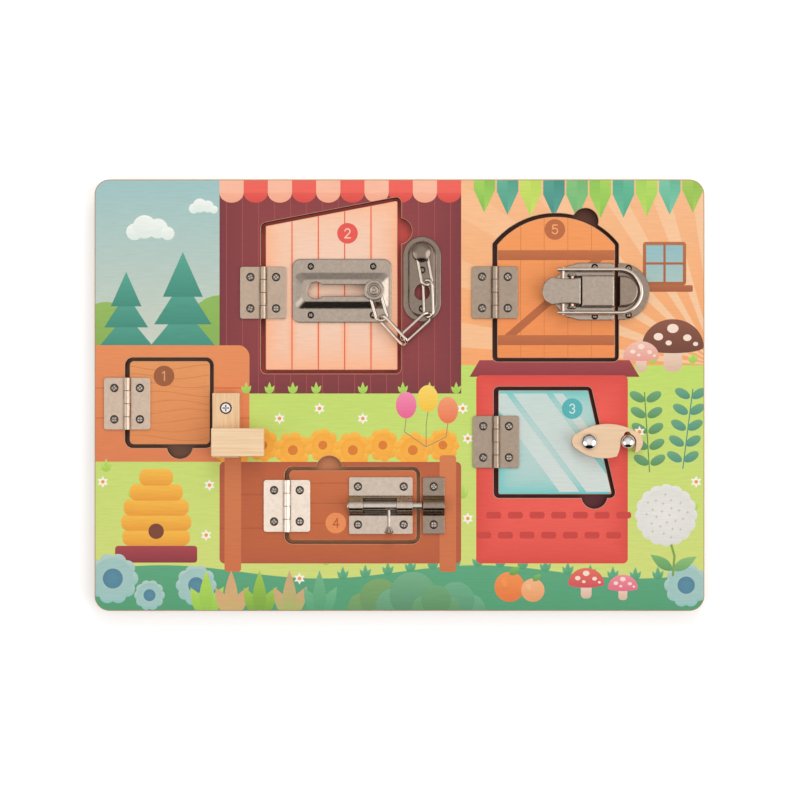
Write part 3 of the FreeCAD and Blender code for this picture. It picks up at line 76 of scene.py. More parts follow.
# The face's artwork, in millimetres. Left, right, low and high lie just beyond the board.
LEFT, RIGHT, LOW, HIGH = -190, 190, -135, 135
TENT_LEFT, TENT_RIGHT, TENT_FOOT = -108, 37, 1
SUN_WALL_LEFT, SUN_WALL_FOOT = 28.5, 18
CREST, SWELL, SWELL_LENGTH = -106, 4, 190   # the green band's upper edge

# Thin sheets of metal seen in the gaps of two latches, in millimetres. Their dark colour is
# painted shade.
SHEET_Z = (10.08, 10.28)
OUTER_EDGE = 9              # faces this close to the board's outline belong to its outer edge

# Soft shading of the metal
PROBES = 6                  # rays a point sends out to find a recess or an edge
PLY = 1.2                   # one layer of the plywood, in millimetres

# The picture, in metres, and the lens in millimetres
CAMERA_HEIGHT = 1.05
PICTURE_WIDTH = 0.48        # what the picture's width covers at the board's face
CAMERA_X, CAMERA_Y = 0.0003, -0.0029
SENSOR = 36.0
FLOOR_Z = -0.0005
FLOOR_REACH = 40.0

# Light. A screen of the studio is a direction, the two cosines of its soft edge and a level.
SCREENS = (((0.9, -0.2, 0.6), (0.86, 0.93), 2.35),
           ((-0.9, -0.35, 0.6), (0.89, 0.94), 1.5),
           ((0.0, -1.0, 0.3), (0.76, 0.84), 0.01))
LAMP_PLACE = (0.12, 1.0, 0.75)
LAMP_SIZE, LAMP_POWER = 0.7, 4.9
TABLE_GLOW = 0.2

# Inks and tones used in several places
WHITE = "#FFFFFF"
# The darkest painted shade, in the metal's recesses and narrow gaps
DEEP_SHADE = "#14110F"
WINDOW_FRAME = "#A9623C"
BEAM = ("#B4633A", "#BC6C40")
PALE_GRASS = ("#9CC84E", "#B4DA62")
BAND_GREEN = "#4E9A70"

# A colour Mix node's sockets: its two colours going in, and its colour coming out
MIX_A, MIX_B, MIX_OUT = 6, 7, 2


# Colours and materials

def linear(code):
    """An sRGB hex colour as linear red, green, blue and an opacity of 1."""
    rgb = np.array([int(code[i:i + 2], 16) / 255 for i in (1, 3, 5)])
    rgb = np.where(rgb <= 0.04045, rgb / 12.92, ((rgb + 0.055) / 1.055) ** 2.4)
    return (*rgb, 1.0)


def add(tree, kind, settings=None, values=None, links=None):
    """Adds one node: its settings by attribute, its values and links by input."""
    new = tree.nodes.new(kind)
    for key, value in (settings or {}).items():
        setattr(new, key, value)
    for key, value in (values or {}).items():
        new.inputs[key].default_value = value
    for key, source in (links or {}).items():
        tree.links.new(source, new.inputs[key])
    return new


def material(name, colour, roughness, metallic=0.0, specular=0.5):
    """A plain finish. Returns the material, its tree and its shader."""
    made = bpy.data.materials.new(name)
    made.use_nodes = True
    tree = made.node_tree
    shader = tree.nodes["Principled BSDF"]
    shader.inputs["Base Color"].default_value = linear(colour)
    shader.inputs["Roughness"].default_value = roughness
    shader.inputs["Metallic"].default_value = metallic
    shader.inputs["Specular IOR Level"].default_value = specular
    return made, tree, shader


def noise(tree, per_mm, stretch=(1, 1, 1), detail=3.0):
    """A noise of that many cells a millimetre, each pulled longer by the stretch."""
    place = add(tree, "ShaderNodeTexCoord")
    scale = [per_mm / MM / s for s in stretch]
    mapped = add(tree, "ShaderNodeMapping", values={"Scale": scale},
                 links={"Vector": place.outputs["Object"]})
    return add(tree, "ShaderNodeTexNoise", values={"Scale": 1.0, "Detail": detail},
               links={"Vector": mapped.outputs["Vector"]})


def ramp(tree, source, stops):
    """A colour ramp on the source with stops of position and hex colour."""
    made = add(tree, "ShaderNodeValToRGB", links={"Fac": source})
    band = made.color_ramp
    while len(band.elements) < len(stops):
        band.elements.new(0.5)
    for element, (position, colour) in zip(band.elements, stops):
        element.position = position
        element.color = linear(colour)
    return made.outputs["Color"]


def printed_ink():
    """Offset ink on sanded plywood. The eye sees satin colour with the wood's fine figure
    under it, in streaks 11 mm long and 1 mm wide, as rotary cut birch has them."""
    made, tree, shader = material("offset ink on plywood", WHITE, 0.48, specular=0.35)
    ink = add(tree, "ShaderNodeAttribute", {"attribute_name": "ink"})
    figure = noise(tree, 0.8, (9, 0.8, 1), 3.0)
    tint = ramp(tree, figure.outputs["Fac"], [(0.3, "#F7F6F4"), (0.7, WHITE)])
    mixed = add(tree, "ShaderNodeMix", {"data_type": "RGBA", "blend_type": "MULTIPLY"},
                {"Factor": 1.0}, {MIX_A: ink.outputs["Color"], MIX_B: tint})
    tree.links.new(mixed.outputs[MIX_OUT], shader.inputs["Base Color"])
    return made


def cut_plywood():
    """Birch plywood cut by a laser: pale where it is sanded, scorched brown on the cut walls.
    A wall faces sideways, so the height of the surface's own direction tells them apart."""
    made, tree, shader = material("laser cut birch plywood", "#D9B48F", 0.6, specular=0.3)
    place = add(tree, "ShaderNodeTexCoord")
    split = add(tree, "ShaderNodeSeparateXYZ", links={"Vector": place.outputs["Normal"]})
    flat = add(tree, "ShaderNodeMath", {"operation": "ABSOLUTE"},
               links={0: split.outputs["Z"]})
    tone = ramp(tree, flat.outputs[0], [(0.15, "#4A2A1C"), (0.6, "#C9A083")])
    tree.links.new(tone, shader.inputs["Base Color"])
    return made


def edge_plywood():
    """The board's outer edge, sanded after cutting. The eye sees pale and darker layers of
    birch, each one ply thick."""
    made, tree, shader = material("sanded birch plywood edge", "#CDAE8E", 0.6, specular=0.3)
    place = add(tree, "ShaderNodeTexCoord")
    split = add(tree, "ShaderNodeSeparateXYZ", links={"Vector": place.outputs["Object"]})
    layer = add(tree, "ShaderNodeMath", {"operation": "PINGPONG"}, {1: PLY * MM},
                {0: split.outputs["Z"]})
    scaled = add(tree, "ShaderNodeMath", {"operation": "DIVIDE"}, {1: PLY * MM},
                 {0: layer.outputs[0]})
    tone = ramp(tree, scaled.outputs[0], [(0.35, "#B08A66"), (0.65, "#D8BC9C")])
    tree.links.new(tone, shader.inputs["Base Color"])
    return made


def bare_wood(name, pale, dark, stretch, per_mm):
    """Sanded bare wood, dull and pale, with its grain pulled along one axis. The streaks of
    pine are 33 mm long and 1.3 mm wide, those of maple 35 mm and 2.5 mm."""
    made, tree, shader = material(name, pale, 0.55, specular=0.3)
    grain = noise(tree, per_mm, stretch, 4.0)
    tone = ramp(tree, grain.outputs["Fac"], [(0.3, dark), (0.62, pale)])
    tree.links.new(tone, shader.inputs["Base Color"])
    return made


def painted_recess_shade(tree, colour, gap, open_to):
    """Painted shade: the colour made darker in recesses and in gaps that are narrower than the
    gap in millimetres, where shade falls. The last number is how open a point has to be to keep
    its full colour."""
    narrow, wide = open_to
    # Painted shade: ambient occlusion darkens the colour in recesses and narrow gaps
    probe = add(tree, "ShaderNodeAmbientOcclusion", {"samples": PROBES}, {"Distance": gap * MM})
    shade_ramp = ramp(tree, probe.outputs["AO"], [(narrow, DEEP_SHADE), (wide, WHITE)])
    mixed = add(tree, "ShaderNodeMix", {"data_type": "RGBA", "blend_type": "MULTIPLY"},
                {"Factor": 1.0}, {MIX_A: colour, MIX_B: shade_ramp})
    return mixed.outputs[MIX_OUT]


def nickel(name, colour, roughness, gap=1.6, edge=0.4):
    """Nickel plate: warm grey with faint polishing marks, and painted shade in its gaps and
    recesses. Its edges look rounded by the edge in millimetres, as pressing and tumbling leave
    them.
    2 mm across, because the real ones, under 0.1 mm, would not show."""
    made, tree, shader = material(name, colour, roughness, 1.0)
    marks = noise(tree, 0.5, detail=6.0)
    tone = ramp(tree, marks.outputs["Fac"], [(0.3, "#F0EEEC"), (0.7, WHITE)])
    marked = add(tree, "ShaderNodeMix", {"data_type": "RGBA", "blend_type": "MULTIPLY"},
                 {"Factor": 1.0, MIX_A: linear(colour)}, {MIX_B: tone})
    # Painted shade in the plate's gaps and recesses
    with_recess_shade = painted_recess_shade(tree, marked.outputs[MIX_OUT], gap, (0.3, 0.88))
    tree.links.new(with_recess_shade, shader.inputs["Base Color"])
    soft = add(tree, "ShaderNodeBevel", {"samples": PROBES}, {"Radius": edge * MM})
    tree.links.new(soft.outputs["Normal"], shader.inputs["Normal"])
    return made


def screw_metal(name, colour, roughness):
    """Zinc plate, bright on the head's flat top, with painted shade where the head slopes into
    its seat or its cross is cut in, and in recesses. The height of the surface's own direction
    tells them apart."""
    made, tree, shader = material(name, colour, roughness, 1.0)
    place = add(tree, "ShaderNodeTexCoord")
    split = add(tree, "ShaderNodeSeparateXYZ", links={"Vector": place.outputs["Normal"]})
    # Painted shade by slope: dark on the head's slopes and in its cross, full colour on the flat
    # top
    tone = ramp(tree, split.outputs["Z"], [(0.9, "#15110E"), (0.96, "#574D45"),
                                           (0.985, colour)])
    # More painted shade in recesses
    tree.links.new(painted_recess_shade(tree, tone, 1.2, (0.4, 0.9)), shader.inputs["Base Color"])
    return made


INK = printed_ink()
CUT_WOOD = cut_plywood()
EDGE_WOOD = edge_plywood()
PINE_BAR = bare_wood("pine along the bar", "#E9C69E", "#DAB186", (1, 26, 1), 0.8)
PINE_BLOCK = bare_wood("pine along the block", "#F0D2AC", "#E4C096", (26, 1, 1), 0.8)
MAPLE = bare_wood("sanded maple", "#E9C9A8", "#E2BE9B", (14, 1, 1), 0.4)
LIGHT_LEAF = nickel("brushed nickel plate, light", "#DCC6B3", 0.32)
MID_LEAF = nickel("brushed nickel plate", "#CAB5A2", 0.32)
DULL_LEAF = nickel("brushed nickel plate, dull", "#B5A291", 0.34)
NEW_LEAF = nickel("new nickel plate", "#FFEFE0", 0.3)
PRESSED_NICKEL = nickel("pressed nickel sheet", "#BBADA0", 0.24, 1.6, 1.3)
DULL_SHEET = nickel("pressed nickel sheet, dull", "#A19082", 0.2, 1.2, 0.7)
ANCHOR_SHEET = nickel("polished pressed sheet", "#928377", 0.14, 1.2, 1.2)
# Dark nickel as painted shade, for the sheets in the gaps of two latches
NICKEL_IN_PAINTED_SHADE = nickel("shaded nickel sheet", "#5E5249", 0.3)
WIRE_NICKEL = nickel("polished nickel wire", "#E9DDD1", 0.1, 0.7, 0.1)
BOLT_NICKEL = nickel("polished nickel sheet", "#D7C7B9", 0.17, 1.2, 0.3)
BARREL_NICKEL = nickel("polished nickel rod", "#DCD2C8", 0.08, 1.0, 0.1)
DOME_CHROME = nickel("polished dome", "#F2F0EE", 0.04, 0.5, 0.1)
SCREW_ZINC = screw_metal("zinc plated screw", "#DCD0C4", 0.16)
BRIGHT_ZINC = screw_metal("bright zinc screw", "#F6F3F0", 0.3)


# Printed shapes. Each returns its outline as an array of points, or a list of such arrays.

def ellipse(x, y, rx, ry=None, turn=0.0, count=36):
    """The circle's angle from 0 to a full turn, stretched by the two radii and turned."""
    a = np.linspace(0, 2 * np.pi, count, endpoint=False)
    p = np.stack([rx * np.cos(a), (ry or rx) * np.sin(a)], 1)
    return spin(p, turn) + (x, y)


def spin(points, turn):
    """Points turned about 0, 0 by an angle in degrees."""
    c, s = math.cos(math.radians(turn)), math.sin(math.radians(turn))
    return np.asarray(points, float) @ np.array([[c, s], [-s, c]])


def box(x0, x1, y0, y1):
    """The four corners between two x and two y, anticlockwise from the lower left."""
    return np.array([(x0, y0), (x1, y0), (x1, y1), (x0, y1)], float)


def soft_box(x0, x1, y0, y1, r):
    """A box whose corners are quarter circles of radius r, from the corner centres outward."""
    a = np.linspace(0, 2 * np.pi, 32, endpoint=False) + np.pi / 64
    cx = np.where(np.cos(a) > 0, x1 - r, x0 + r)
    cy = np.where(np.sin(a) > 0, y1 - r, y0 + r)
    return np.stack([cx + r * np.cos(a), cy + r * np.sin(a)], 1)


def blade(x, y, length, width, turn=0.0):
    """A leaf: half the width times the sine of the way along it, to both sides. The way is
    raised to a power under 1, which moves the widest part towards the foot."""
    t = np.linspace(0, 1, 13)
    side = width / 2 * np.sin(np.pi * t ** 0.8)
    up = np.stack([side, length * t], 1)
    down = np.stack([-side[-2:0:-1], length * t[-2:0:-1]], 1)
    return spin(np.vstack([up, down]), turn) + (x, y)


def stroke(points, width):
    """A line of the width: a box along each stretch and a round at each point."""
    points = [np.array(p, float) for p in points]
    made = [ellipse(*p, width / 2, count=14) for p in points]
    for a, b in zip(points, points[1:]):
        along = (b - a) / np.linalg.norm(b - a)
        side = np.array([-along[1], along[0]]) * width / 2
        made.append(np.array([a - side, b - side, b + side, a + side]))
    return made


def star(x, y, r, inner, count):
    """Points on two circles in turn: the radius, and that times the inner part."""
    a = np.linspace(0, 2 * np.pi, 2 * count, endpoint=False) + np.pi / 2
    reach = np.where(np.arange(2 * count) % 2 == 0, r, r * inner)
    return np.stack([reach * np.cos(a), reach * np.sin(a)], 1) + (x, y)


def wave(x0, x1, low, high, swell, length):
    """A band whose upper edge is the level high plus a sine."""
    x = np.linspace(x0, x1, 60)
    top = high + swell * np.sin(2 * np.pi * x / length)
    return np.vstack([np.stack([x, top], 1)[::-1], [(x0, low), (x1, low)]])


def arc_points(x, y, r, start, end, count=9):
    """The radius times the cosine and sine of even steps between two angles in degrees."""
    a = np.radians(np.linspace(start, end, count))
    return list(zip(x + r * np.cos(a), y + r * np.sin(a)))


# Door numbers: the points that each line runs through, from the middle of its disc
DIGITS = {
    1: [(-0.9, 1.8), (0.3, 2.7), (0.3, -2.7)],
    2: arc_points(0, 1.2, 1.5, 170, -30) + [(-1.6, -2.7), (1.7, -2.7)],
    3: arc_points(0, 1.3, 1.4, 160, -80) + arc_points(0, -1.25, 1.5, 80, -160),
    4: [(0.9, -2.7), (0.9, 2.7), (-1.6, -1.1), (1.9, -1.1)],
    5: [(1.4, 2.7), (-1.1, 2.7), (-1.3, 0.3)] + arc_points(0, -0.9, 1.7, 120, -160)}


class Sheet:
    """Printed shapes in painting order. An ink is a pair of colours and the way between them:
    up or to the side across the shape's own box, round from its middle, or in at its edge."""

    def __init__(self):
        self.shapes = []

    def paint(self, outlines, low, high=None, way="up"):
        """Adds one outline, or each of a list of them, in the same ink."""
        if isinstance(outlines, np.ndarray):
            outlines = [outlines]
        for outline in outlines:
            self.shapes.append((outline, low, high or low, way))

    def number(self, digit, x, y, disc, ink):
        """A door number on a disc."""
        self.paint(ellipse(x, y, DISC_RADIUS, count=48), disc)
        self.paint(stroke([(x + a, y + b) for a, b in DIGITS[digit]],
                          NUMBER_WIDTH), ink)


def top_loops(name):
    """The closed edges of a node's highest flat face, the widest first, in millimetres."""
    mesh = nodes[name].data
    mesh.calc_loop_triangles()
    spots = np.empty(len(mesh.vertices) * 3, np.float64)
    mesh.vertices.foreach_get("co", spots)
    corners = np.empty(len(mesh.loop_triangles) * 3, np.int32)
    mesh.loop_triangles.foreach_get("vertices", corners)
    spots, same = np.unique(np.round(spots.reshape(-1, 3) / MM, 3), axis=0, return_inverse=True)
    triangles = same.ravel()[corners].reshape(-1, 3)
    high = spots[:, 2] > spots[:, 2].max() - FACE_DEPTH
    triangles = triangles[high[triangles].all(1)]
    sides = np.vstack([triangles[:, [0, 1]], triangles[:, [1, 2]], triangles[:, [2, 0]]])
    pairs = set(map(tuple, sides.tolist()))
    after = {a: b for a, b in pairs if (b, a) not in pairs}
    loops = []
    while after:
        start = next(iter(after))
        walk, here = [], start
        while here in after:
            walk.append(here)
            here = after.pop(here)
        loops.append(spots[walk][:, :2])
    loops = [p for p in loops if np.ptp(p, axis=0).max() > OPENING_SIZE]
    return sorted(loops, key=lambda p: -np.ptp(p[:, 0]) * np.ptp(p[:, 1])), spots[:, 2].max()


def counter_clockwise(points):
    """The outline turned so that the sum of its corners' cross products is above 0."""
    x, y = points[:, 0], points[:, 1]
    area = (x * np.roll(y, -1) - y * np.roll(x, -1)).sum()
    return points if area > 0 else points[::-1]


def ink_at(points, shape):
    """The shape's ink at each point: its two colours mixed by the way across its own box.
    The edge way is the fourth power of the nearness to the box's sides."""
    outline, low, high, way = shape
    least, most = outline.min(0), outline.max(0)
    t = (points - least) / np.maximum(most - least, 1e-6)
    if way == "up":
        mix = t[:, 1]
    elif way == "side":
        mix = t[:, 0]
    else:
        mix = np.linalg.norm(t - 0.5, axis=1) * 1.6
        if way == "edge":
            mix = np.maximum(np.abs(t[:, 0] - 0.5), np.abs(t[:, 1] - 0.5)) * 2
            mix = mix ** 4
    mix = np.clip(mix, 0, 1)[:, None]
    return np.array(linear(low)) * (1 - mix) + np.array(linear(high)) * mix


def film(name, body, outline, holes, level, sheet):
    """A printed film on a flat outline. The outline, its holes and every printed shape are cut
    into one set of triangles, with loose points between them so that the inks run smoothly."""
    least, most = outline.min(0), outline.max(0)
    gx, gy = [np.arange(a + INK_STEP / 2, b, INK_STEP) for a, b in zip(least, most)]
    grid = np.stack(np.meshgrid(gx, gy), -1).reshape(-1, 2)
    shapes = [(loop, WHITE, WHITE, "up") for loop in (outline, *holes)] + sheet.shapes
    points, faces = [], []
    for shape in shapes:
        ring = counter_clockwise(shape[0])
        faces.append(list(range(len(points), len(points) + len(ring))))
        points += ring.tolist()
    points += grid.tolist()
    spots, _, triangles, _, _, covers = geometry.delaunay_2d_cdt(
        [Vector(p) for p in points], [], faces, 0, MERGE, True)
    first = 1 + len(holes)
    kept, tops = [], []
    for triangle, cover in zip(triangles, covers):
        if 0 in cover and not any(0 < c < first for c in cover) and max(cover) >= first:
            kept.append(triangle)
            tops.append(max(cover))
    flat = np.array(spots)
    mesh = bpy.data.meshes.new(name)
    high = np.full((len(flat), 1), level + FILM_LIFT)
    mesh.from_pydata((np.hstack([flat, high]) * MM).tolist(), [], kept)
    corners = np.array(kept)
    tops = np.array(tops)
    inks = np.ones((len(corners), 3, 4))    # red, green, blue and opacity at three corners
    for top in np.unique(tops):
        mine = tops == top
        spread = flat[corners[mine].reshape(-1)]
        inks[mine] = ink_at(spread, shapes[top]).reshape(-1, 3, 4)
    mesh.attributes.new("ink", "FLOAT_COLOR", "CORNER").data.foreach_set("color", inks.ravel())
    mesh.materials.append(INK)
    clean_loose(mesh)
    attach(put(name, mesh), body)


def put(name, data):
    """A new object in the scene with that mesh, light or camera."""
    made = bpy.data.objects.new(name, data)
    bpy.context.collection.objects.link(made)
    return made


def clean_loose(mesh):
    """Takes away the points that no triangle uses."""
    work = bmesh.new()
    work.from_mesh(mesh)
    bmesh.ops.delete(work, geom=[v for v in work.verts if not v.link_faces], context="VERTS")
    work.to_mesh(mesh)
    work.free()


# The artwork on the face

def petals(sheet, x, y, reach, r, count, low, high, smooth=36):
    """Discs of radius r in a ring of that reach, in even steps of a full turn."""
    for k in range(count):
        a = 2 * math.pi * k / count
        spot = x + reach * math.cos(a), y + reach * math.sin(a)
        sheet.paint(ellipse(*spot, r, count=smooth), low, high)


def sky(sheet):
    """A pale sky with two clouds over two green hills."""
    sheet.paint(box(LEFT, -97, 10, HIGH), "#CFD0BE", "#98BFC0")
    for x, y, size in ((-150, 98, 1.0), (-118, 112, 0.6)):
        for dx, dy, r in ((-9, 0, 5), (-3, 3, 7), (5, 2, 6), (11, -1, 4)):
            sheet.paint(ellipse(x + dx * size, y + dy * size, r * size), "#DCE6E0", "#EEF2EC")
    sheet.paint(ellipse(-108, 26, 24, 34), "#7FA24C", "#8DB65A")
    sheet.paint(ellipse(-176, 34, 20, 22), "#7FA24C", "#94B85C")


def mushroom(sheet, x, y, size, cap, cap_shade):
    """A stem under a cap with pale spots. The cap is a high half ellipse on a low one."""
    sheet.paint(soft_box(x - 9 * size, x + 9 * size, y, y + 30 * size, 7 * size),
                "#D9B49C", "#F3D9C6")
    a = np.radians(np.linspace(0, 180, 25))
    cap_line = np.stack([x + 30 * size * np.cos(a), y + 24 * size + 27 * size * np.sin(a)], 1)
    b = np.radians(np.linspace(180, 360, 13))[1:-1]
    brim = np.stack([x + 30 * size * np.cos(b), y + 24 * size + 6 * size * np.sin(b)], 1)
    sheet.paint(np.vstack([cap_line, brim]), cap_shade, cap)
    for dx, dy, r in ((-14, 34, 4.5), (0, 42, 5.5), (14, 33, 4), (-4, 28, 3), (22, 27, 2.5)):
        sheet.paint(ellipse(x + dx * size, y + dy * size, r * size, r * size * 0.8), "#F4DCCB")


def tent_wall(sheet):
    """A maroon wall with a scalloped red awning along the top edge."""
    sheet.paint(box(TENT_LEFT, TENT_RIGHT, TENT_FOOT, HIGH), "#8E3E40", "#79343A", "edge")
    for i in range(15):
        x = TENT_LEFT + 4 + 9.6 * i
        sheet.paint(box(x, x + 0.5, TENT_FOOT, HIGH), "#A04A48")
    half, hem = 7.25, 121.5
    for i in range(10):
        x = TENT_LEFT + 2 * half * i + half
        low, high = ("#D94A42", "#EA6156") if i % 2 else ("#F0A488", "#F4B79C")
        sheet.paint(ellipse(x, hem, half, 6), low, high)
        sheet.paint(box(x - half, x + half, hem, HIGH), high)


def sun_wall(sheet):
    """An orange wall with broad pale rays from its lower right. A ray is a triangle between
    two angles, 5.5 degrees wide, and one starts every 13 degrees."""
    sheet.paint(box(SUN_WALL_LEFT, RIGHT, SUN_WALL_FOOT, HIGH), "#F3A468", "#F0B88A")
    for i in range(7):
        turns = [math.radians(176 - 13 * i - wide) for wide in (0, 5.5)]
        far = [(RIGHT + 230 * math.cos(a), SUN_WALL_FOOT + 230 * math.sin(a)) for a in turns]
        sheet.paint(np.array([(RIGHT, SUN_WALL_FOOT), *far]), "#F3B582", "#F2C7A0", "side")


def bunting(sheet, x0, x1, colours):
    """A string of small flags along the top edge. It sags by a sine between its two ends,
    and each flag is folded down its middle."""
    top, shoulder, tip, gap = 133, 124, 110, 0.5
    count = len(colours)
    step = (x1 - x0) / count
    for i, (low, high) in enumerate(colours):
        a = x0 + i * step
        sag = 4 * math.sin(math.pi * (i + 0.5) / count)
        middle, right = a + step / 2, a + step - gap
        fold = [(middle, tip - sag), (right, shoulder - sag), (right, top)]
        flag = np.array([(a + gap, top), (a + gap, shoulder - sag), *fold])
        sheet.paint(flag[::-1], low, high)
        sheet.paint(np.array([(middle, top), *fold]), high, low)


def fir(sheet, x, y, size, low, high):
    """A fir tree of three stacked triangles on a short trunk."""
    sheet.paint(box(x - 2 * size, x + 2 * size, y - 5 * size, y + 2 * size), "#8A5638")
    for k in range(3):
        w, b = (15 - 3.5 * k) * size, y + 11 * k * size
        sheet.paint(np.array([(x - w, b), (x + w, b), (x, b + 18 * size)]), low, high)


def blossom(sheet, x, y, size):
    """A small white flower with six pointed petals."""
    sheet.paint(star(x, y, 4.2 * size, 0.55, 6), "#F5F1E8")
    sheet.paint(ellipse(x, y, 1.3 * size, count=16), "#F0963C")


def round_flower(sheet, x, y, r):
    """A big flat flower: a ring of pale petals round a blue heart."""
    petals(sheet, x, y, 0.7 * r, 0.32 * r, 10, "#8FBFBC", "#B9CCC4")
    sheet.paint(ellipse(x, y, 0.82 * r, count=48), "#A7C6BF", "#9AC2BE", "round")
    sheet.paint(ellipse(x, y, 0.4 * r, count=40), "#5B8DA2", "#4F7F96", "round")


def meadow(sheet):
    """Lime grass with a darker green band along the lower edge."""
    sheet.paint(box(LEFT, RIGHT, LOW, 22), "#D3D97C", "#BEDA68")
    sheet.paint(wave(LEFT, RIGHT, LOW, CREST, SWELL, SWELL_LENGTH), BAND_GREEN, "#5BA57C")
    sheet.paint(box(SUN_WALL_LEFT, RIGHT, 16, 21), "#BEDA68")


def bench(sheet):
    """Orange boards round the first door."""
    sheet.paint(soft_box(-195, -90, -40, 30, 7), "#DC7E50", "#E48C58")
    for y in (-14, 4):
        sheet.paint(box(-195, -90, y, y + 0.6), "#C46A42")


def puff(sheet, x, y, size):
    """A white seed head on a stem with two leaves. Its seeds lie on a spiral: the angle grows
    by 2.4 a seed and the radius by the square root of the seed's number."""
    sheet.paint(stroke([(x + 2, y - 20 * size), (x + 5, y - 34 * size), (x + 4, y - 50 * size)],
                       1.4), "#7FA050")
    for turn, low, high in ((55, "#5F9A62", "#7DB46C"), (-60, "#6FA468", "#8CBE74")):
        sheet.paint(blade(x + 4, y - 46 * size, 23 * size, 9 * size, turn), low, high)
    petals(sheet, x, y, 20 * size, 6 * size, 16, "#D9D8D2", "#E6E4DE")
    sheet.paint(ellipse(x, y, 22 * size, count=48), "#E6E4DE", "#DCDAD4", "round")
    for k in range(24):
        a = 2.4 * k
        r = 3.9 * size * math.sqrt(k + 0.5)
        sheet.paint(star(x + r * math.cos(a), y + r * math.sin(a), 1.2, 0.35, 4), "#C9BDB0")


def crate(sheet):
    """A long crate round the fourth door with a row of marigolds behind it."""
    for i in range(8):
        x, y, r = -100 + 18 * i, -33 + 3 * (i % 2), 10 - i % 2
        petals(sheet, x, y, 0.75 * r, 0.36 * r, 9, "#F2A233", "#F7BC4A", smooth=18)
        sheet.paint(ellipse(x, y, 0.75 * r), "#F6B542", "#F3A338", "round")
        sheet.paint(ellipse(x, y, 0.3 * r, count=20), "#D97B2E")
    sheet.paint(soft_box(-108, 37, -101, -40, 3), "#BE6238", "#B4583A", "edge")
    for y in (-60, -80):
        sheet.paint(box(-107, 36, y, y + 0.5), "#A34F30")
    for x in (-105, 24):
        sheet.paint(soft_box(x, x + 10, -106, -36, 2), "#CC7044", "#D27A4C")


def cottage(sheet):
    """A red house round the third door, with a dark roof and two rows of bricks. The lower
    row is set half a brick to the left."""
    eaves = [(42, 11), (144, 11), (138, 21), (48, 21)]
    sheet.paint(np.array(eaves, float), "#8E363C", "#A04248")
    sheet.paint(soft_box(46, 137, -101, 12, 3), "#EA5B50", "#D9493F", "edge")
    for y, shift in ((-74, 0), (-86, -6)):
        for x in range(52, 132, 13):
            sheet.paint(soft_box(x + shift, x + 9 + shift, y, y + 4, 1.5), "#C8423C")


def hive(sheet, x, y, size):
    """A straw beehive on a maroon stand: rounded bands, each narrower than the one below."""
    sheet.paint(soft_box(x - 17 * size, x + 17 * size, y - 10 * size, y - 3 * size, 2),
                "#8A343C", "#A8434A")
    for k, half in enumerate((14, 14.5, 13.5, 11, 7)):
        low = y + (6.2 * k - 3) * size
        sheet.paint(soft_box(x - half * size, x + half * size, low, low + 7 * size, 3 * size),
                    "#E89A34", "#F6BC48")
    sheet.paint(ellipse(x, y + 3 * size, 3.2 * size), "#7A4030")


def fruit(sheet, x, y, r, low, high):
    """A round fruit with a leaf."""
    sheet.paint(ellipse(x, y, r, count=44), low, high)
    sheet.paint(ellipse(x - 0.35 * r, y + 0.3 * r, 0.2 * r, 0.3 * r, 30, 16), high)
    sheet.paint(blade(x, y + 0.8 * r, 0.9 * r, 0.5 * r, -50), "#5F9A50", "#86B85E")


def balloons(sheet):
    """Three balloons whose strings meet."""
    for x, y, low, high in ((4, -6, "#E8618F", "#F08AAE"), (17, -2, "#F2C03C", "#F7D566"),
                            (29, -9, "#E8744C", "#F09A70")):
        sheet.paint(stroke([(x, y - 8), (x - 1, y - 16), (16, -31)], 0.5), "#9A8A6A")
        sheet.paint(ellipse(x, y, 6.2, 8), low, high)


def window(sheet, x0, x1, y0, y1):
    """A window of four panes over a sill."""
    sheet.paint(soft_box(x0, x1, y0, y1, 2), WINDOW_FRAME, "#B56C44")
    sheet.paint(box(x0 + 2, x1 - 2, y0 + 2, y1 - 2), "#A8C2BC", "#8FB9C0")
    mid_x, mid_y = (x0 + x1) / 2, (y0 + y1) / 2
    sheet.paint(box(mid_x - 0.7, mid_x + 0.7, y0 + 1, y1 - 1), WINDOW_FRAME)
    sheet.paint(box(x0 + 1, x1 - 1, mid_y - 0.7, mid_y + 0.7), WINDOW_FRAME)
    sheet.paint(soft_box(x0 - 4, x1 + 4, y0 - 4, y0, 1), "#A55A3A", "#B2673F")


def hedge(sheet):
    """Round bushes in the middle and leaf tufts left of them, both along the lower edge."""
    bushes = ((-12, 12, -110, "#5C8A5A", "#7DA668"), (34, 11, -112, "#4E8A6A", "#6FAE88"),
              (8, 14, -106, "#4F8462", "#74AE86"), (22, 9, -114, "#55875A", "#6EA676"))
    for x, r, top, low, high in bushes:
        for dx, dy, part in ((-0.8, -1.5, 0.8), (0.8, -1.5, 0.8), (0, -1, 1)):
            sheet.paint(ellipse(x + dx * r, top + dy * r, part * r), low, high)
    tufts = ((-116, "#8FC24A", "#B4D858"), (-101, "#C9B070", "#D9A27A"),
             (-84, "#6E9C3C", "#A2C84C"), (-66, "#9CB860", "#D8A080"),
             (-48, BAND_GREEN, "#74B488"))
    for x, low, high in tufts:
        for turn, size in ((-30, 17), (28, 16), (0, 24)):
            sheet.paint(blade(x, -133, size + 4, 8, turn), low, high)


def tuft(sheet, x, y, size, low, high):
    """Three short blades of grass."""
    for turn, part in ((-32, 0.8), (0, 1.0), (34, 0.75)):
        sheet.paint(blade(x, y, size * part, 0.34 * size, turn), low, high)


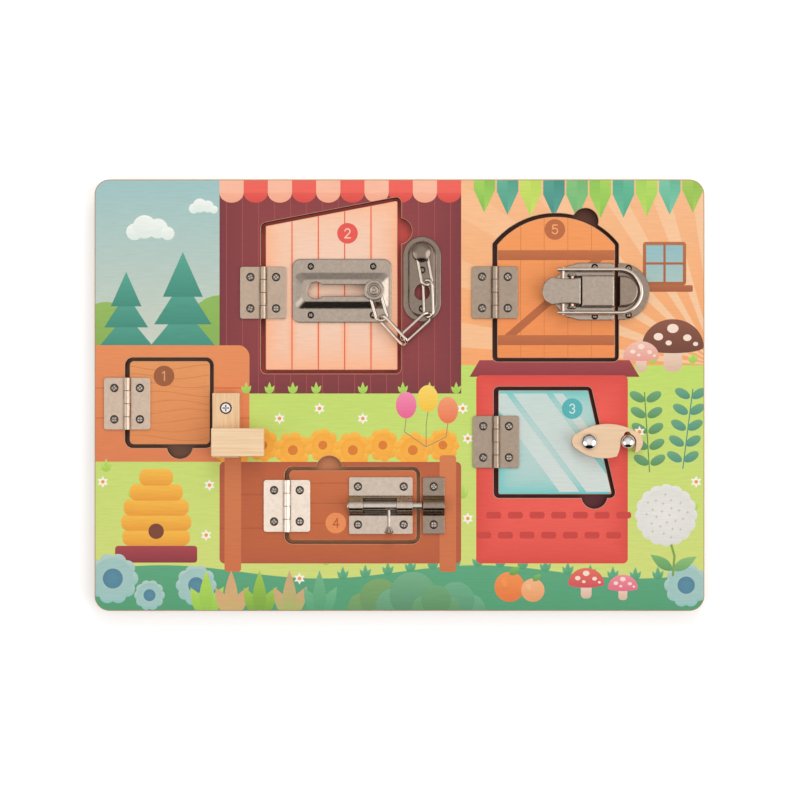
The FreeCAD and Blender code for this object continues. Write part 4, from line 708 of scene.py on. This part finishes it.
def grass(sheet):
    """Tufts along the foot of the tent and of the sunny wall, across the meadow and on the
    crest of the green band, which is the same sine as the band's."""
    for x in (-92, -78, -64, -50, -22, 2, 18, 34):
        tuft(sheet, x, TENT_FOOT, 7, *PALE_GRASS)
    for x in (152, 162, 176):
        tuft(sheet, x, 19, 7, *PALE_GRASS)
    for x, y in ((-160, -62), (-92, -84), (-44, -102), (30, -88), (38, -62), (150, -64),
                 (176, -70), (-176, -46), (26, -30), (144, -30)):
        tuft(sheet, x, y, 8, "#A2C850", "#C0DC6A")
    for k in range(15):
        x = -34 + 13.5 * k
        y = CREST - 1 + SWELL * math.sin(2 * math.pi * x / SWELL_LENGTH)
        tuft(sheet, x, y, 8, BAND_GREEN, "#6CB488")


def sprigs(sheet):
    """Two leaning stems at the right. Each has five joints, with a round leaf to both sides."""
    joints, rise = 5, 9.5
    for x, y, lean, low in ((150, -46, -3, "#5A8E58"), (170, -44, 6, "#4E9080")):
        for k in range(joints):
            foot = (x + lean * k / joints, y + rise * k)
            tip = (x + lean * (k + 1) / joints, y + rise * k + rise)
            sheet.paint(stroke([foot, tip], 0.7), low)
            for side in (-1, 1):
                sheet.paint(ellipse(foot[0] + 5 * side, foot[1] + 7, 5, 2.7, 30 * side),
                            low, "#6FA67A")


def face_art():
    """The whole face, painted from the back of the picture to its front."""
    sheet = Sheet()
    meadow(sheet)
    sky(sheet)
    sun_wall(sheet)
    for x, y, size in ((-164, 28, 1.15), (-130, 26, 1.5)):
        fir(sheet, x, y, size, "#3F8A78", "#57A590")
    tent_wall(sheet)
    bench(sheet)
    grass(sheet)
    bunting(sheet, 44, 183, [("#7DB84E", "#A8D05C"), ("#4C9A84", "#66B094"),
                             ("#B4CF56", "#C8DC66"), ("#3F8C80", "#58A090"),
                             ("#6FB070", "#84C07C"), ("#A8D05C", "#84BE52"),
                             ("#66B894", "#4EA688"), ("#B8D660", "#9CCB58"),
                             ("#5DB091", "#7EC4A4"), ("#8DB84E", "#A8C85A")])
    window(sheet, 146, 172, 66, 92)
    mushroom(sheet, 164, 14, 0.62, "#8A5340", "#6E4032")
    mushroom(sheet, 145, 14, 0.36, "#EFC0AE", "#E69C92")
    cottage(sheet)
    crate(sheet)
    hive(sheet, -146, -86, 1.45)
    for x, y, r in ((-172, -110, 15), (-150, -120, 9), (-122, -114, 12), (172, -114, 13)):
        round_flower(sheet, x, y, r)
    sprigs(sheet)
    hedge(sheet)
    puff(sheet, 160, -72, 0.72)
    fruit(sheet, 66, -115, 9, "#E4743A", "#F0924E")
    fruit(sheet, 80, -117, 7, "#E89A62", "#F2B586")
    mushroom(sheet, 112, -122, 0.36, "#E4705A", "#D04E5A")
    mushroom(sheet, 134, -123, 0.3, "#EE8E9E", "#E26A84")
    balloons(sheet)
    for x, y in ((-72, -14), (-48, -8), (-22, -14), (-178, -52), (-114, -54), (-116, -84),
                 (41, -26), (41, -74), (178, -52), (144, -22), (38, -8), (-60, -110)):
        blossom(sheet, x, y, 0.85)
    return sheet


# The artwork on the doors

def door_art():
    """The five doors. Each film is cut to its door, so its ground only has to be larger."""
    one, two, three, four, five = (Sheet() for _ in range(5))
    one.paint(box(-170, -110, -32, 24), "#DE8A52", "#E4965C")
    for i in range(9):
        y = -26 + 5.3 * i
        x = np.linspace(-170, -108, 24)
        lift = 1.6 * np.sin(x / 9 + i)
        band = np.vstack([np.stack([x, y + lift], 1), np.stack([x, y + lift + 0.5], 1)[::-1]])
        one.paint(band, "#D47E48")
    one.number(1, -141.3, 11.5, "#9A5A38", "#DE9A66")

    two.paint(box(-82, 1, 13, 119), "#F0CAB2", "#FAAE82", "edge")
    for x in (-64.5, -48.7, -32.9, -17.1):
        two.paint(box(x - 0.35, x + 0.35, 12, 120), "#E2604C")
    two.number(2, -31.2, 97.1, "#E4564E", "#F4C6AE")

    three.paint(box(57, 126, -61.5, 4.5), "#B6D0CC", "#48C2BE", "edge")
    for x, wide in ((96, 12), (112, 20), (136, 6)):
        streak = np.array([(x, -58), (x + wide, -58), (x + wide - 44, 1), (x - 44, 1)])
        three.paint(streak, "#D0D8D4", "#C6D6D2")
    three.number(3, 103.6, -8.1, "#52B0B2", "#CFE0DC")

    four.paint(box(-68, 12, -90, -42), "#BE6238", "#C86C40")
    for y in (-53, -65, -77):
        four.paint(box(-68, 12, y, y + 0.4), "#A85430")
    four.number(4, -38.2, -76.7, "#E88C54", "#B4562E")

    five.paint(box(56, 131, 20, 110), "#EC8C4E", "#EF985A")
    for x in (72.5, 86.6, 100.8, 115):
        five.paint(box(x, x + 0.4, 20, 110), "#CF7E40")
    for y in (33, 84):
        five.paint(box(56, 131, y - 3, y + 3), *BEAM)
    five.paint(np.array([(63, 36), (70, 36), (122, 81), (115, 81)], float), *BEAM)
    five.number(5, 93.2, 99.4, "#B8683E", "#F0A468")
    return one, two, three, four, five


# What lies behind each door: a flat ground and the star on it
UNDER_TONES = (("#7E5640", "#E0A05C"), ("#DC544C", "#F2C4A4"), ("#6A2A32", "#8FC6C4"),
               ("#DC8C5E", "#F2B04A"), ("#603424", "#F2A05C"))


def top_of(name):
    """The height of a CAD piece's highest point, in metres."""
    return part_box(name)[1][2]


def print_films():
    """The films on the face, on each door and at the bottom of each opening. A door's opening
    is the one whose middle is nearest to the door's."""
    loops, level = top_loops("front_panel")
    outer, openings = loops[0], loops[1:6]
    film("face_print", "frame", outer, openings, level, face_art())
    back_level = top_of("back_panel") / MM
    for number, (art, (ground, bright)) in enumerate(zip(door_art(), UNDER_TONES), 1):
        door_loops, door_level = top_loops(f"door_{number}")
        outline = door_loops[0]
        film(f"door_{number}_print", f"door_{number}", outline, [], door_level, art)
        middle = (outline.min(0) + outline.max(0)) / 2
        around = min(openings, key=lambda p: np.linalg.norm((p.min(0) + p.max(0)) / 2 - middle))
        under = Sheet()
        under.paint(ellipse(*middle, UNDER_RADIUS), ground)
        under.paint(star(*middle, 15, 0.5, 4 + number), bright)
        film(f"opening_{number}_print", "frame", around, [], back_level, under)


def sheet_piece(name, body, x, y):
    """A flat sheet of metal, dark as painted shade: a closed box between two x, two y and the
    sheet's z.
    """
    corners = [(a * MM, b * MM, c * MM) for c in SHEET_Z for b in y for a in x]
    sides = [(0, 2, 3, 1), (4, 5, 7, 6), (0, 1, 5, 4), (2, 6, 7, 3), (0, 4, 6, 2), (1, 3, 7, 5)]
    mesh = bpy.data.meshes.new(name)
    mesh.from_pydata(corners, [], sides)
    mesh.materials.append(NICKEL_IN_PAINTED_SHADE)
    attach(put(name, mesh), body)


def latch_floors():
    """The sheet behind the bolt's rod and the one under the draw latch's lever, both coloured
    dark as painted shade in the latches' gaps.
    """
    sheet_piece("bolt_floor", "door_4", (-25.5, 2.0), (-72.6, -60.8))
    sheet_piece("draw_latch_floor", "door_5", (105.8, 111.0), (52.6, 71.8))


# Finishes on the CAD pieces

def finish(name, *materials):
    """Gives a CAD piece its materials in place of the ones it came with."""
    mesh = nodes[name].data
    mesh.materials.clear()
    for made in materials:
        mesh.materials.append(made)


def panel_edges():
    """The front panel's outer edge is sanded; the walls of its openings are scorched."""
    mesh = nodes["front_panel"].data
    finish("front_panel", CUT_WOOD, EDGE_WOOD)
    count = len(mesh.polygons)
    centres = np.empty(count * 3)
    mesh.polygons.foreach_get("center", centres)
    centres = np.abs(centres.reshape(-1, 3))
    inner = [side - OUTER_EDGE * MM for side in cad_high[:2]]
    outer = (centres[:, 0] > inner[0]) | (centres[:, 1] > inner[1])
    mesh.polygons.foreach_set("material_index", outer.astype(np.int32))


LEAVES = (LIGHT_LEAF, MID_LEAF, DULL_LEAF, NEW_LEAF, DULL_LEAF)
FINISHES = (
    (EDGE_WOOD, ("back_panel",)),
    (SCREW_ZINC, ("hinge_frame_screws", "slot_plate_screws", "anchor_screws", "bolt_body_screws",
                  "bolt_keeper_screws", "draw_latch_screws", "catch_screws")),
    (BRIGHT_ZINC, ("turn_latch_screw",)),
    (PINE_BAR, ("turn_latch_bar",)),
    (PINE_BLOCK, ("turn_latch_block",)),
    (MAPLE, ("hook",)),
    (PRESSED_NICKEL, ("slot_plate", "draw_latch_lever", "draw_latch_base", "chain_button")),
    (DULL_SHEET, ("draw_latch_catch", "bolt_keeper")),
    (ANCHOR_SHEET, ("anchor_plate",)),
    (WIRE_NICKEL, ("anchor_post", "draw_latch_bail", "lever_pin", "bail_pin")),
    (BOLT_NICKEL, ("bolt_body",)),
    (BARREL_NICKEL, ("bolt_rod", "bolt_handle")),
    (DOME_CHROME, ("hook_pivot_screw", "hook_stud")))


def finishes():
    """Every CAD piece gets its material: those that come five times, and then the others."""
    panel_edges()
    for n, leaf in enumerate(LEAVES, 1):
        finish(f"door_{n}", CUT_WOOD)
        finish(f"hinge_{n}_frame_leaf", leaf)
        finish(f"hinge_{n}_door_leaf", leaf)
        finish(f"hinge_{n}_pin", SCREW_ZINC)
        finish(f"hinge_{n}_door_screws", SCREW_ZINC)
        finish(f"chain_link_{n}", WIRE_NICKEL)
    for made, names in FINISHES:
        for name in names:
            finish(name, made)


# Light, floor and camera

def patch(tree, way, aim, edge):
    """How far a direction lies within a round patch of the room, from 0 outside to 1 inside.
    The edge is a pair of cosines: where the patch ends and where it is full."""
    aim = Vector(aim).normalized()
    dot = add(tree, "ShaderNodeVectorMath", {"operation": "DOT_PRODUCT"}, {1: aim}, {0: way})
    soft = add(tree, "ShaderNodeMapRange", {"interpolation_type": "SMOOTHSTEP"},
               {"From Min": edge[0], "From Max": edge[1]}, {"Value": dot.outputs["Value"]})
    return soft.outputs[0]


def blend(tree, amount, under, level):
    """Puts a grey of that level over the room's colour by the amount."""
    made = add(tree, "ShaderNodeMix", {"data_type": "RGBA", "clamp_result": False},
               {MIX_B: (level, level, level, 1)}, {0: amount, MIX_A: under})
    return made.outputs[MIX_OUT]


def room():
    """A studio. Its height bands are dark at the floor line, pale above it and nearly white
    overhead. Two bright screens stand to the left and right, and the near side between them
    is dark."""
    world = bpy.data.worlds.new("room")
    bpy.context.scene.world = world
    world.use_nodes = True
    tree = world.node_tree
    tree.nodes.clear()
    way = add(tree, "ShaderNodeTexCoord").outputs["Generated"]
    split = add(tree, "ShaderNodeSeparateXYZ", links={"Vector": way})
    seen = ramp(tree, split.outputs["Z"], [(0.0, "#202020"), (0.16, "#2A2928"), (0.26, "#B4B4B4"),
                                           (0.6, "#C6C5C4"), (0.85, "#F1F0EE"), (1.0, "#FCFAF8")])
    for aim, edge, level in SCREENS:
        seen = blend(tree, patch(tree, way, aim, edge), seen, level)
    light = add(tree, "ShaderNodeBackground", values={"Strength": 1.0}, links={"Color": seen})
    add(tree, "ShaderNodeOutputWorld", links={"Surface": light.outputs[0]})


def lamp():
    """A soft square lamp aimed at the middle of the board. The metal does not mirror it."""
    data = bpy.data.lights.new("far lamp", "AREA")
    data.size = LAMP_SIZE
    data.energy = LAMP_POWER
    made = put("far lamp", data)
    made.location = LAMP_PLACE
    made.rotation_euler = (-Vector(LAMP_PLACE)).to_track_quat("-Z", "Y").to_euler()
    made.visible_glossy = False


def floor():
    """A white table. It shows a little brighter to the camera and in metal, so that only the
    shadow is grey. It reaches so far that it is also the background of a low view."""
    mesh = bpy.data.meshes.new("table_top")
    corners = [(a * FLOOR_REACH, b * FLOOR_REACH, FLOOR_Z)
               for a, b in ((-1, -1), (1, -1), (1, 1), (-1, 1))]
    mesh.from_pydata(corners, [], [(0, 1, 2, 3)])
    white, tree, shader = material("white table", "#F4F4F4", 0.9, specular=0.0)
    ray = add(tree, "ShaderNodeLightPath")
    mirrored = add(tree, "ShaderNodeMath", {"operation": "MAXIMUM"}, links={
        0: ray.outputs["Is Glossy Ray"], 1: ray.outputs["Is Transmission Ray"]})
    seen = add(tree, "ShaderNodeMath", {"operation": "MAXIMUM"}, links={
        0: ray.outputs["Is Camera Ray"], 1: mirrored.outputs[0]})
    extra = add(tree, "ShaderNodeMath", {"operation": "MULTIPLY"}, {1: TABLE_GLOW},
                {0: seen.outputs[0]})
    tree.links.new(extra.outputs[0], shader.inputs["Emission Strength"])
    shader.inputs["Emission Color"].default_value = linear(WHITE)
    mesh.materials.append(white)
    put("table_top", mesh)


def camera():
    """Straight above the board. The lens is the sensor times the camera's height over the
    board's face, divided by the width that the picture covers."""
    data = bpy.data.cameras.new("camera")
    data.sensor_width = SENSOR
    data.lens = SENSOR * (CAMERA_HEIGHT - top_of("front_panel")) / PICTURE_WIDTH
    made = put("camera", data)
    made.location = (CAMERA_X, CAMERA_Y, CAMERA_HEIGHT)
    bpy.context.scene.camera = made


print_films()
latch_floors()
finishes()
room()
lamp()
floor()
camera()
bpy.context.scene.view_settings.view_transform = "Standard"
